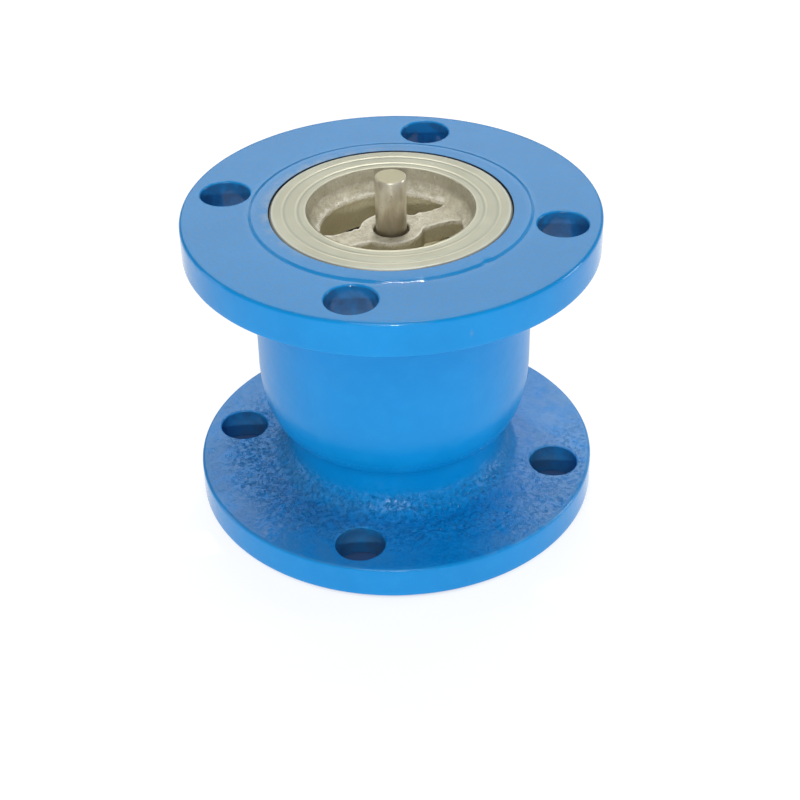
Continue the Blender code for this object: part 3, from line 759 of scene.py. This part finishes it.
def body_offset(point, normal):
    """How the casting's skin lies inside its nominal shape."""
    r = math.hypot(point.x, point.y)
    if r < RECESS_R + 0.0004 and point.z > 0.034:
        return Vector()
    waves = 0.5 + 0.5 * noise.fractal(point * 70, 0.8, 2.0, 3)
    lumps = 0.5 + 0.5 * noise.fractal(point * 260, 0.7, 2.1, 2)
    on_face = eased(point.z, face_z - 0.0017, face_z - 0.0014) * eased(normal.z, 0.5, 0.95)
    on_rim = eased(r, flange_r - 0.002, flange_r - 0.0005)
    depth = (0.00014 - 0.00007 * on_rim) * (0.6 * waves + 0.6 * lumps) * (1 - 0.93 * on_face)
    depth += 0.00042 * pitting(point, normal)
    seam = math.exp(-(((point.z - PARTING_Z) / 0.0008) ** 2)) * eased(r, NECK_R, BODY_R - 0.002)
    depth -= seam * 0.00013 * (0.6 + noise.noise(point * 300))
    move = -normal * max(depth, 0.0)

    outward = Vector((point.x, point.y, 0.0)) / r
    off_edge = outward * 0.5 + Vector((0, 0, 0.6))
    edge = math.exp(-(((r - RAISED_R) / 0.0012) ** 2)) * eased(point.z, face_z - 0.0014, face_z - 0.0006)
    ripple = 0.5 + 0.5 * noise.noise(point * 380)
    front = eased(point.dot(towards(8)), 0.035, 0.05)
    move -= off_edge * edge * (0.00006 + 0.0004 * front) * ripple
    nicked = towards(40) * RAISED_R + Vector((0, 0, face_z - 0.0004))
    nick = math.exp(-((point - nicked).length / 0.0012) ** 2)
    move -= off_edge * 0.0009 * nick
    return move


def build_body():
    under = face_z - RAISED_FACE
    paint_top = under + 0.001
    outlet_top = RAISED_FACE + FLANGE_THICKNESS
    corners = [
        (RECESS_R, face_z, 0.0002),
        (RAISED_R - 0.0006, face_z, 0.0018),
        (RAISED_R + 0.0009, paint_top, 0.002),
        (flange_r, paint_top, 0.0012),
        (flange_r, under - FLANGE_THICKNESS, 0.0011),
        (BODY_R, under - FLANGE_THICKNESS, 0.003),
        *arc((NECK_R, BOWL_TOP_Z), (BODY_R - NECK_R, BOWL_DEPTH), 0, -90, 24),
        (NECK_R, outlet_top, 0.008),
        (flange_r, outlet_top, 0.0012),
        (flange_r, RAISED_FACE, 0.0011),
        (RAISED_R, RAISED_FACE, 0.0005),
        (RAISED_R, 0.0, 0.0005),
        (OUTLET_R, 0.0, 0.0005),
        (OUTLET_R, guide_low.z - GAP, 0.0002),
        (NECK_BORE_R, guide_low.z - GAP, 0.0002),
        (NECK_BORE_R, SNAP_GROOVE_Z[0], 0.0002),
        (SNAP_GROOVE_R, SNAP_GROOVE_Z[0], 0.0001),
        (SNAP_GROOVE_R, SNAP_GROOVE_Z[1], 0.0001),
        (NECK_BORE_R, SNAP_GROOVE_Z[1], 0.0002),
        *arc((NECK_BORE_R, BOWL_TOP_Z), (CHAMBER_R - NECK_BORE_R, BOWL_TOP_Z - NECK_TOP_Z), -90, 0, 14),
        (CHAMBER_R, 0.0953, 0.002),
        (BARREL_R + GAP, 0.1033, 0.0004),
        (BARREL_R + GAP, gasket_low.z - GAP, 0.0003),
        (RECESS_R, gasket_low.z - GAP, 0.0002),
    ]

    def step(r, z):
        inside = r < CHAMBER_R + 0.0001 and 0.0005 < z < face_z - 0.0005
        hidden = z < 0.0005 or (z < face_z - 0.0145 and r > BODY_R + 0.002 and z > 0.09)
        return 0.0035 if inside else 0.0025 if hidden else 0.0013

    mesh = turned("valve_body", spaced(rounded(corners, 5), step), FACETS)
    cutters = []
    for i in range(BOLT_COUNT):
        angle = math.pi / 4 + math.tau * i / BOLT_COUNT
        x, y = BOLT_CIRCLE_R * math.cos(angle), BOLT_CIRCLE_R * math.sin(angle)
        cutters.append(bolt_hole_cutter(x, y, under - FLANGE_THICKNESS, paint_top))
        cutters.append(bolt_hole_cutter(x, y, RAISED_FACE, outlet_top))
    mesh = marked(combined(mesh, cutters), "coarse", coarseness)
    mesh = moved(mesh, body_offset)
    piece("body_casting", mesh, ENAMEL, "valve_body", "valve_body")


# ======== seat ring
def ring_bore_cutter():
    """The cast bore, wavy and torn at the edge of its windows, and running on above the face."""
    beyond = 0.003
    side = [
        (0.0, face_z + beyond),
        (FACE_BORE_R + 0.0006, face_z + beyond),
        (FACE_BORE_R, face_z),
        (FACE_BORE_R - 0.0009, face_z - 0.004),
        (THROAT_R + 0.0011, ARM_TOP_Z + 0.0012),
        (THROAT_R - 0.0002, ARM_TOP_Z + 0.0002),
        (THROAT_R - 0.0003, ARM_TOP_Z - 0.0007),
        (THROAT_R + 0.0001, ARM_TOP_Z - 0.0022),
        (THROAT_R, lip_z + 0.0004),
        (THROAT_R + 0.0005, lip_z - 0.0001),
        (THROAT_R + 0.0005, lip_z - beyond),
        (0.0, lip_z - beyond),
    ]
    mesh = turned("ring_bore", spaced(side, 0.0005, closed=False), FACETS, closed=False)

    def tear(point, normal):
        r = math.hypot(point.x, point.y)
        if r < 0.02 or point.z < ARM_TOP_Z - 0.006:
            return Vector()
        outward = Vector((point.x, point.y, 0.0)) / r
        wave = noise.fractal(point * 190, 0.8, 2.0, 3)
        grit = noise.fractal(point * 700, 0.7, 2.0, 2)
        burr = math.exp(-(((point.z - ARM_TOP_Z) / 0.0014) ** 2))
        return outward * (0.00022 * wave + 0.0001 * grit + burr * 0.00045 * noise.noise(point * 480))

    return moved(mesh, tear)


def spider_width(x):
    """Half the width of the arms and hub at a distance along the arms, with soft roots."""
    arm = ARM_WIDTH / 2 + 0.0035 * eased(abs(x), THROAT_R - 0.008, THROAT_R + 0.0015) ** 2
    hub = math.sqrt(max(HUB_R**2 - x**2, 0.0))
    soft = 0.0022
    overlap = max(soft - abs(arm - hub), 0.0) / soft
    return max(arm, hub) + overlap * overlap * soft / 4


def ring_spider():
    """Two arms and the hub, cast with soft corners and rough torn edges."""
    reach = THROAT_R + 0.003
    count = 90
    line = [-reach + 2 * reach * i / count for i in range(count + 1)]
    outline = [(x, -spider_width(x)) for x in line] + [(x, spider_width(x)) for x in reversed(line)]
    arms = prism("arms", outline, ARM_TOP_Z - ARM_DEPTH, ARM_TOP_Z)
    hub = prism("hub", polygon(64, HUB_R), ARM_TOP_Z - HUB_LENGTH, ARM_TOP_Z - 0.001)
    mesh = melted(combined(arms, [hub], "UNION"), 0.00038, 4)

    def tear(point, normal):
        to_edge = spider_width(point.x) - abs(point.y)
        at_top = eased(point.z, ARM_TOP_Z - 0.0022, ARM_TOP_Z - 0.0004)
        edge = math.exp(-((to_edge / 0.0011) ** 2)) * at_top
        grit = noise.fractal(point * 520, 0.7, 2.0, 3)
        jag = noise.fractal(point * 380 + Vector((3.0, 1.0, 0.0)), 0.8, 2.0, 2)
        sideways = Vector((0.0, math.copysign(1.0, point.y), 0.0)) * 0.00055 * jag
        return normal * 0.0001 * grit + edge * (sideways + Vector((0, 0, 0.00022 * max(jag, 0.0))))

    return shifted(moved(mesh, tear), turn=ARM_ANGLE)


def torn(point, normal):
    """How brightly a torn edge is painted, 0 to 1, partly as fresh metal and partly as a painted highlight:
    along the arms' top edges and the edge of the windows.
    """
    x = point.x * math.cos(ARM_ANGLE) + point.y * math.sin(ARM_ANGLE)
    y = point.y * math.cos(ARM_ANGLE) - point.x * math.sin(ARM_ANGLE)
    r = math.hypot(x, y)
    if point.z > ARM_TOP_Z + 0.0035 or point.z < ARM_TOP_Z - 0.0035:
        return 0.0
    ragged = 0.5 + noise.noise(point * 420)
    high = eased(point.z, ARM_TOP_Z - 0.0016 - 0.0008 * ragged, ARM_TOP_Z - 0.0006)
    inward = spider_width(x) - abs(y)
    at_arm = eased(0.0011 + 0.0006 * ragged - inward, 0.0, 0.0006) if r < THROAT_R - 0.001 else 0.0
    below_wall = eased(ARM_TOP_Z + 0.0006 + 0.0016 * ragged - point.z, 0.0, 0.0008)
    at_wall = eased(r, THROAT_R - 0.0012, THROAT_R - 0.0004) * below_wall
    clear = eased(-inward, -0.0008, 0.0004)
    return min(high * max(at_arm, at_wall * clear), 1.0)


def turned_groove(radius, half_width, depth):
    """Corners of a shallow dip round the ring's face, from the inside out."""
    return [
        (radius - half_width, face_z, 0.002),
        (radius, face_z - depth, 0.002),
        (radius + half_width, face_z, 0.002),
    ]


def build_seat_ring():
    outer = ring_r + 0.0003
    corners = [
        (FACE_BORE_R - 0.004, face_z, 0.0),
        *turned_groove(0.0341, 0.0009, 0.00018),
        *turned_groove(0.0392, 0.0009, 0.00016),
        (outer - 0.0007, face_z, 0.0006),
        (outer, face_z - 0.0007, 0.0006),
        (outer, gasket_high.z + GAP, 0.0003),
        (BARREL_R, gasket_high.z + GAP, 0.0003),
        (BARREL_R, O_RING_GROOVE_Z[1], 0.0001),
        (O_RING_GROOVE_R, O_RING_GROOVE_Z[1], 0.0003),
        (O_RING_GROOVE_R, O_RING_GROOVE_Z[0], 0.0003),
        (BARREL_R, O_RING_GROOVE_Z[0], 0.0001),
        (BARREL_R, BARREL_END_Z, 0.0005),
        (LIP_R, lip_z, 0.0003),
        (FACE_BORE_R - 0.0065, lip_z, 0.0),
    ]
    mesh = turned("seat_ring", spaced(rounded(corners), 0.0009), FACETS)
    mesh = combined(mesh, [ring_bore_cutter()])
    mesh = combined(mesh, [ring_spider()], "UNION")
    stem_hole = [
        (0.0, ARM_TOP_Z + 0.002),
        (STEM_R + 0.0014, ARM_TOP_Z + 0.002),
        (STEM_R + 0.0014, ARM_TOP_Z + 0.0001),
        (STEM_R + 0.0009, ARM_TOP_Z - 0.0005),
        (STEM_R + 0.0009, ARM_TOP_Z - 0.003),
        (BUSH_POCKET_R, ARM_TOP_Z - 0.003),
        (BUSH_POCKET_R, lip_z),
        (0.0, lip_z),
    ]
    mesh = combined(mesh, [turned("stem_hole", stem_hole, 96, closed=False)])
    mesh = marked(mesh, "torn", torn)
    piece("seat_ring_casting", mesh, BRASS, "valve_body", "seat_ring")


# ======== turned pieces inside
def turned_piece(node, corners, look, body, step=0.0012, cuts=()):
    """A turned piece in place of its node. It is solid where its corners start and end on the axis."""
    closed = corners[0][0] != 0
    mesh = turned(node, spaced(rounded(corners), step, closed), closed=closed)
    if cuts:
        mesh = combined(mesh, cuts)
    return piece(node + "_fine", mesh, look, body, node)


def square_ring(bore, low, high, chamfer):
    return [(r, z, chamfer) for r, z in ((bore, high.z), (high.x, high.z), (high.x, low.z), (bore, low.z))]


def sleeve(node, bore, look, body, chamfer=0.0004, cuts=()):
    """A plain ring that fills its node's box, with broken corners."""
    turned_piece(node, square_ring(bore, *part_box(node), chamfer), look, body, cuts=cuts)


def build_stem():
    collar_low, collar_high = COLLAR_Z
    turned_piece("stem", [
        (0.0, stem_high.z, 0.0),
        (STEM_R, stem_high.z, 0.0005),
        (STEM_R, collar_high, 0.0006),
        (COLLAR_R, collar_high, 0.0004),
        (COLLAR_R, collar_low, 0.0004),
        (TAIL_R, collar_low, 0.0003),
        (TAIL_R, stem_low.z, 0.0007),
        (0.0, stem_low.z, 0.0),
    ], BRASS_TINTED_STEM_STEEL, "disc_assembly")


def screw_places():
    turns = [math.pi / 4 + math.tau * i / SCREW_COUNT for i in range(SCREW_COUNT)]
    return [(SCREW_CIRCLE_R * math.cos(turn), SCREW_CIRCLE_R * math.sin(turn)) for turn in turns]


def screw_outline(clearance, head_z, tip_z):
    """A countersunk screw, head down, from its tip to the middle of its head."""
    head, shank = SCREW_HEAD_R + clearance, SCREW_SHANK_R + clearance
    return [
        (0.0, tip_z, 0.0),
        (shank, tip_z, 0.0002),
        (shank, DISC_WEB_Z + 0.0025, 0.0003),
        (head, DISC_WEB_Z + 0.0005, 0.0),
        (head, head_z, 0.0002),
        (0.0, head_z, 0.0),
    ]


def screw_hole(top):
    outline = rounded(screw_outline(GAP, DISC_WEB_Z - 0.002, top))
    return turned("screw_hole", spaced(outline, 0.0012, closed=False), 48, closed=False)


def build_screws():
    for i in range(SCREW_COUNT):
        name = f"retainer_screw_{i + 1}"
        low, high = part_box(name)
        outline = rounded(screw_outline(0.0, low.z, high.z))
        mesh = turned("screw", spaced(outline, 0.0008, closed=False), 48, closed=False)
        socket = prism("socket", polygon(6, 0.0014), low.z - 0.001, low.z + 0.0018)
        mesh = shifted(combined(mesh, [socket]), (low.x + high.x) / 2, (low.y + high.y) / 2)
        piece(name + "_fine", mesh, STEEL, "disc_assembly", name)


def build_disc():
    inside, outside, floor = SEAL_GROOVE
    holes = [shifted(screw_hole(DISC_FACE_Z + 0.002), x, y) for x, y in screw_places()]
    turned_piece("disc", [
        (TAIL_R + GAP, disc_high.z, 0.0003),
        (DISC_BOSS_R, disc_high.z, 0.0004),
        (DISC_BOSS_R, DISC_FACE_Z, 0.0005),
        (inside, DISC_FACE_Z, 0.0003),
        (inside, floor, 0.0004),
        (outside, floor, 0.0004),
        (outside, DISC_RIM_Z, 0.0004),
        (disc_r, DISC_RIM_Z, 0.0006),
        (disc_r, DISC_WEB_Z + DISC_CHAMFER, 0.0012),
        (disc_r - DISC_CHAMFER, DISC_WEB_Z, 0.0012),
        (SPIGOT_R, DISC_WEB_Z, 0.0015),
        (SPIGOT_R, disc_low.z, 0.0005),
        (TAIL_R + GAP, disc_low.z, 0.0004),
    ], BRIGHTENED_BRONZE, "disc_assembly", cuts=holes)


def build_seal_and_retainer():
    seal_low, seal_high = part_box("disc_seal")
    turned_piece("disc_seal", [
        (SEAL_BEAD_R, seal_high.z, 0.0006),
        (seal_high.x, seal_high.z, 0.0008),
        (seal_high.x, seal_low.z, 0.0004),
        (SEAL_GROOVE[0] + GAP, seal_low.z, 0.0004),
        (SEAL_GROOVE[0] + GAP, DISC_FACE_Z, 0.0004),
        (SEAL_BEAD_R, DISC_FACE_Z, 0.0002),
    ], RUBBER, "disc_assembly")
    low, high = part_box("seal_retainer")
    blind = [shifted(screw_hole(high.z - 0.0006), x, y) for x, y in screw_places()]
    turned_piece("seal_retainer", [
        (DISC_BOSS_R + GAP, high.z, 0.0003),
        (high.x, high.z, 0.0005),
        (high.x, low.z, 0.0003),
        (DISC_BOSS_R + GAP, low.z, 0.0003),
    ], BRIGHTENED_BRONZE, "disc_assembly", cuts=blind)


def build_washers():
    """The flat washer under the disc and the split lock washer under that."""
    bore = TAIL_R + GAP
    sleeve("disc_washer", bore, STEEL, "disc_assembly")
    low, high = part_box("disc_lock_washer")
    slit = prism("slit", LOCK_WASHER_SLIT, low.z - 0.001, high.z + 0.001)
    sleeve("disc_lock_washer", bore, STEEL, "disc_assembly", 0.0003, [slit])


def build_nut():
    """A hexagon nut with its corners and bore chamfered."""
    low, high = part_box("disc_nut")
    corner, bore, chamfer = high.x, TAIL_R + GAP, 0.0006
    crown = turned("crown", spaced(rounded([
        (bore + chamfer, high.z, 0.0),
        (corner * 0.9, high.z, 0.0),
        (corner + 0.0003, high.z - 0.0008, 0.0),
        (corner + 0.0003, low.z + 0.0008, 0.0),
        (corner * 0.9, low.z, 0.0),
        (bore + chamfer, low.z, 0.0),
        (bore, low.z + chamfer, 0.0),
        (bore, high.z - chamfer, 0.0),
    ]), 0.001), 96)
    mesh = combined(prism("nut", polygon(6, corner), low.z, high.z), [crown], "INTERSECT")
    piece("disc_nut_fine", mesh, STEEL, "disc_assembly", "disc_nut")


def build_spring_seats():
    """Two flanged rings, the upper with its lip down inside the spring and the lower with its lip up."""
    lip, thick = 0.0118, 0.0015
    low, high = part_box("upper_spring_seat")
    bore = 0.0107
    turned_piece("upper_spring_seat", [
        (bore, high.z, 0.0004), (high.x, high.z, 0.0004), (high.x, high.z - thick, 0.0004),
        (lip, high.z - thick, 0.0004), (lip, low.z, 0.0004), (bore, low.z, 0.0003),
    ], STEEL, "spring_seat")
    low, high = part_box("lower_spring_seat")
    bore = 0.0108
    turned_piece("lower_spring_seat", [
        (bore, high.z, 0.0003), (lip, high.z, 0.0004), (lip, low.z + thick, 0.0004),
        (high.x, low.z + thick, 0.0004), (high.x, low.z, 0.0004), (bore, low.z, 0.0004),
    ], STEEL, "valve_body")


def wire_height(turn, low, high):
    """Height of the wire's centre after that many turns, with a closed turn at each end."""
    start, end = low + WIRE_R, high - WIRE_R
    active = end - start - 2 * SPRING_END_RISE
    if turn < 1:
        return start + SPRING_END_RISE * turn
    if turn > SPRING_TURNS - 1:
        return end - SPRING_END_RISE * (SPRING_TURNS - turn)
    return start + SPRING_END_RISE + active * (turn - 1) / (SPRING_TURNS - 2)


def build_spring():
    """The closing spring, its end turns ground flat."""
    low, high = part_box("closing_spring")
    a_turn, round_wire = 56, 12
    vertices, faces = [], []
    count = a_turn * SPRING_TURNS
    for i in range(count + 1):
        turn = i / a_turn
        angle = math.tau * turn
        z = wire_height(turn, low.z, high.z)
        for k in range(round_wire):
            lean = math.tau * k / round_wire
            r = SPRING_R + WIRE_R * math.cos(lean)
            ground = min(max(z + WIRE_R * math.sin(lean), low.z + 0.0003), high.z - 0.0003)
            vertices.append((r * math.cos(angle), r * math.sin(angle), ground))
    for i in range(count):
        for k in range(round_wire):
            j = (k + 1) % round_wire
            a, b = i * round_wire, (i + 1) * round_wire
            faces.append((a + k, b + k, b + j, a + j))
    faces.append(tuple(range(round_wire)))
    faces.append(tuple(reversed(range(count * round_wire, (count + 1) * round_wire))))
    mesh = listed("spring", vertices, faces)
    spring = piece("closing_spring_fine", mesh, SPRING_STEEL, "valve_body", "closing_spring")
    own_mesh(spring)


def guide_frame(inner_r):
    """The outlet guide's ring, three ribs and hub as plain solids in one mesh."""
    ring_outline = [
        (inner_r, GUIDE_RING_TOP), (guide_r, GUIDE_RING_TOP), (guide_r, guide_low.z), (inner_r, guide_low.z),
    ]
    solids = []
    half = GUIDE_RIB_WIDTH / 2
    reach = (inner_r + guide_r) / 2
    for i in range(3):
        outline = [(0, -half), (reach, -half), (reach, half), (0, half)]
        rib = prism("rib", outline, guide_low.z + 0.0006, GUIDE_RING_TOP - 0.0006)
        solids.append(shifted(rib, turn=math.radians(90 + 120 * i)))
    solids.append(turned("ring", ring_outline, FACETS))
    shelf_r, shelf_z = GUIDE_SHELF
    hub = turned("hub", [
        (0, guide_high.z), (GUIDE_HUB_R, guide_high.z), (GUIDE_HUB_R, shelf_z),
        (shelf_r, shelf_z), (shelf_r, guide_low.z), (0, guide_low.z),
    ], 96, closed=False)
    return combined(hub, solids, "UNION")


def build_outlet_guide():
    """The outlet guide cast with soft corners, and bored for its bush and the stem's tail."""

    def cast(point, normal):
        r = math.hypot(point.x, point.y)
        machined = r > guide_r - 0.0006 or point.z > GUIDE_SHELF[1] - 0.0006
        return normal * (0.0 if machined else -0.00012 * (1 + noise.fractal(point * 260, 0.8, 2.0, 3)))

    mesh = moved(melted(guide_frame(guide_r - 0.0037), 0.0005, 3), cast)
    pocket_r, pocket_floor = GUIDE_BUSH_POCKET
    chamfer, beyond, tail_hole_r = 0.0006, 0.002, TAIL_R + 0.0009
    bore = turned("bore", [
        (0, guide_high.z + beyond),
        (pocket_r + chamfer, guide_high.z + beyond),
        (pocket_r + chamfer, guide_high.z),
        (pocket_r, guide_high.z - chamfer),
        (pocket_r, pocket_floor),
        (tail_hole_r, pocket_floor),
        (tail_hole_r, guide_low.z - beyond),
        (0, guide_low.z - beyond),
    ], 96, closed=False)
    piece("guide_spider_casting", combined(mesh, [bore]), CAST_BRONZE, "valve_body", "guide_spider")


def build_seals_and_bushes():
    sleeve("seat_gasket", BARREL_R + 0.001, FIBRE, "valve_body", chamfer=0.0001)
    sleeve("upper_guide_bush", STEM_R + GAP, POLYMER, "valve_body")
    sleeve("lower_guide_bush", TAIL_R + GAP, POLYMER, "valve_body")
    low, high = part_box("seat_o_ring")
    cord = (high.z - low.z) / 2
    circle = arc((high.x - cord, low.z + cord), (cord, cord), 350, 0, 24)
    turned_piece("seat_o_ring", circle, RUBBER, "valve_body", step=0.001)


def build_snap_ring():
    """An internal snap ring with an eye at each side of its opening."""
    low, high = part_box("guide_snap_ring")
    width, opening, eye_size, beyond = 0.0038, 0.014, 0.0009, 0.001
    outline = rounded(square_ring(high.x - width, low, high, 0.0003))
    mesh = turned("snap_ring", spaced(outline, 0.001), FACETS)
    half = opening / 2
    mouth_outline = [(0.02, -half), (0.045, -half), (0.045, half), (0.02, half)]
    cuts = [prism("mouth", mouth_outline, low.z - beyond, high.z + beyond)]
    eye_r = high.x - width / 2
    turn = math.asin((half + 0.0022) / eye_r)
    for side in (1, -1):
        eye = prism("eye", polygon(32, eye_size), low.z - beyond, high.z + beyond)
        cuts.append(shifted(eye, eye_r * math.cos(turn), side * eye_r * math.sin(turn)))
    piece("guide_snap_ring_fine", combined(mesh, cuts), SPRING_STEEL, "valve_body", "guide_snap_ring")


build_body()
build_seat_ring()
build_stem()
build_disc()
build_seal_and_retainer()
build_screws()
build_washers()
build_nut()
build_spring_seats()
build_spring()
build_outlet_guide()
build_seals_and_bushes()
build_snap_ring()


# ======== camera, floor and light
CAMERA_DISTANCE = 0.6376
CAMERA_ELEVATION = math.radians(33.78)
CAMERA_ROLL = -0.02258
CAMERA_LENS = 75.33
CAMERA_SHIFT = (0.0075, -0.0682)
AIM_HEIGHT = 0.05995
PANEL_AIM_HEIGHT = 0.06


def add_camera():
    outward = towards(0)
    place = outward * (CAMERA_DISTANCE * math.cos(CAMERA_ELEVATION))
    place.z = AIM_HEIGHT + CAMERA_DISTANCE * math.sin(CAMERA_ELEVATION)
    forward = (Vector((0, 0, AIM_HEIGHT)) - place).normalized()
    level = forward.cross(Vector((0, 0, 1))).normalized()
    upright = level.cross(forward)
    right = math.cos(CAMERA_ROLL) * level + math.sin(CAMERA_ROLL) * upright
    up = right.cross(forward)
    lens = bpy.data.cameras.new("camera")
    lens.lens = CAMERA_LENS
    lens.sensor_width = 36
    lens.shift_x, lens.shift_y = CAMERA_SHIFT
    camera = put("camera", lens)
    camera.matrix_world = Matrix.Translation(place) @ Matrix((right, up, -forward)).transposed().to_4x4()
    bpy.context.scene.camera = camera


def add_floor():
    reach = 6.0
    corners = [(-reach, -reach, 0), (reach, -reach, 0), (reach, reach, 0), (-reach, reach, 0)]
    mesh = listed("floor", corners, [(0, 1, 2, 3)])
    mesh.materials.append(floor_finish())
    floor = put("floor", mesh)
    floor.location.z = -0.0004


def add_panel(name, turn, elevation, distance, size, power):
    """A light panel that faces the valve, placed by its turn from the front and its elevation."""
    light = bpy.data.lights.new(name, "AREA")
    light.shape = "RECTANGLE"
    light.size, light.size_y = size
    light.energy = power
    panel = put(name, light)
    lift = math.radians(elevation)
    outward = towards(turn) * (distance * math.cos(lift))
    panel.location = outward + Vector((0, 0, distance * math.sin(lift) + PANEL_AIM_HEIGHT))
    aim = Vector((0, 0, PANEL_AIM_HEIGHT)) - panel.location
    panel.rotation_euler = aim.to_track_quat("-Z", "Y").to_euler()


def add_world(strength):
    world = bpy.data.worlds.new("studio")
    world.use_nodes = True
    background = world.node_tree.nodes["Background"]
    background.inputs["Color"].default_value = (1.0, 1.0, 1.0, 1.0)
    background.inputs["Strength"].default_value = strength
    bpy.context.scene.world = world


add_camera()
add_floor()
add_world(0.18)
add_panel("key", -6, 45, 1.4, (0.7, 0.7), 5.2)
add_panel("strip", 2, 17, 1.2, (0.8, 0.04), 2)
add_panel("overhead", 180, 84, 1.5, (1.2, 1.2), 1.6)
add_panel("back", 180, 36, 1.6, (1.3, 0.9), 7.8)
add_panel("left", -100, 5, 1.3, (0.35, 0.9), 2)
add_panel("right", 100, 5, 1.3, (0.35, 0.9), 5.5)
add_panel("spark_high", 174, 64, 1.2, (0.1, 0.02), 2.5)
add_panel("spark_front", 0, 18, 1.2, (0.06, 0.04), 3)
bpy.context.scene.view_settings.view_transform = "Standard"
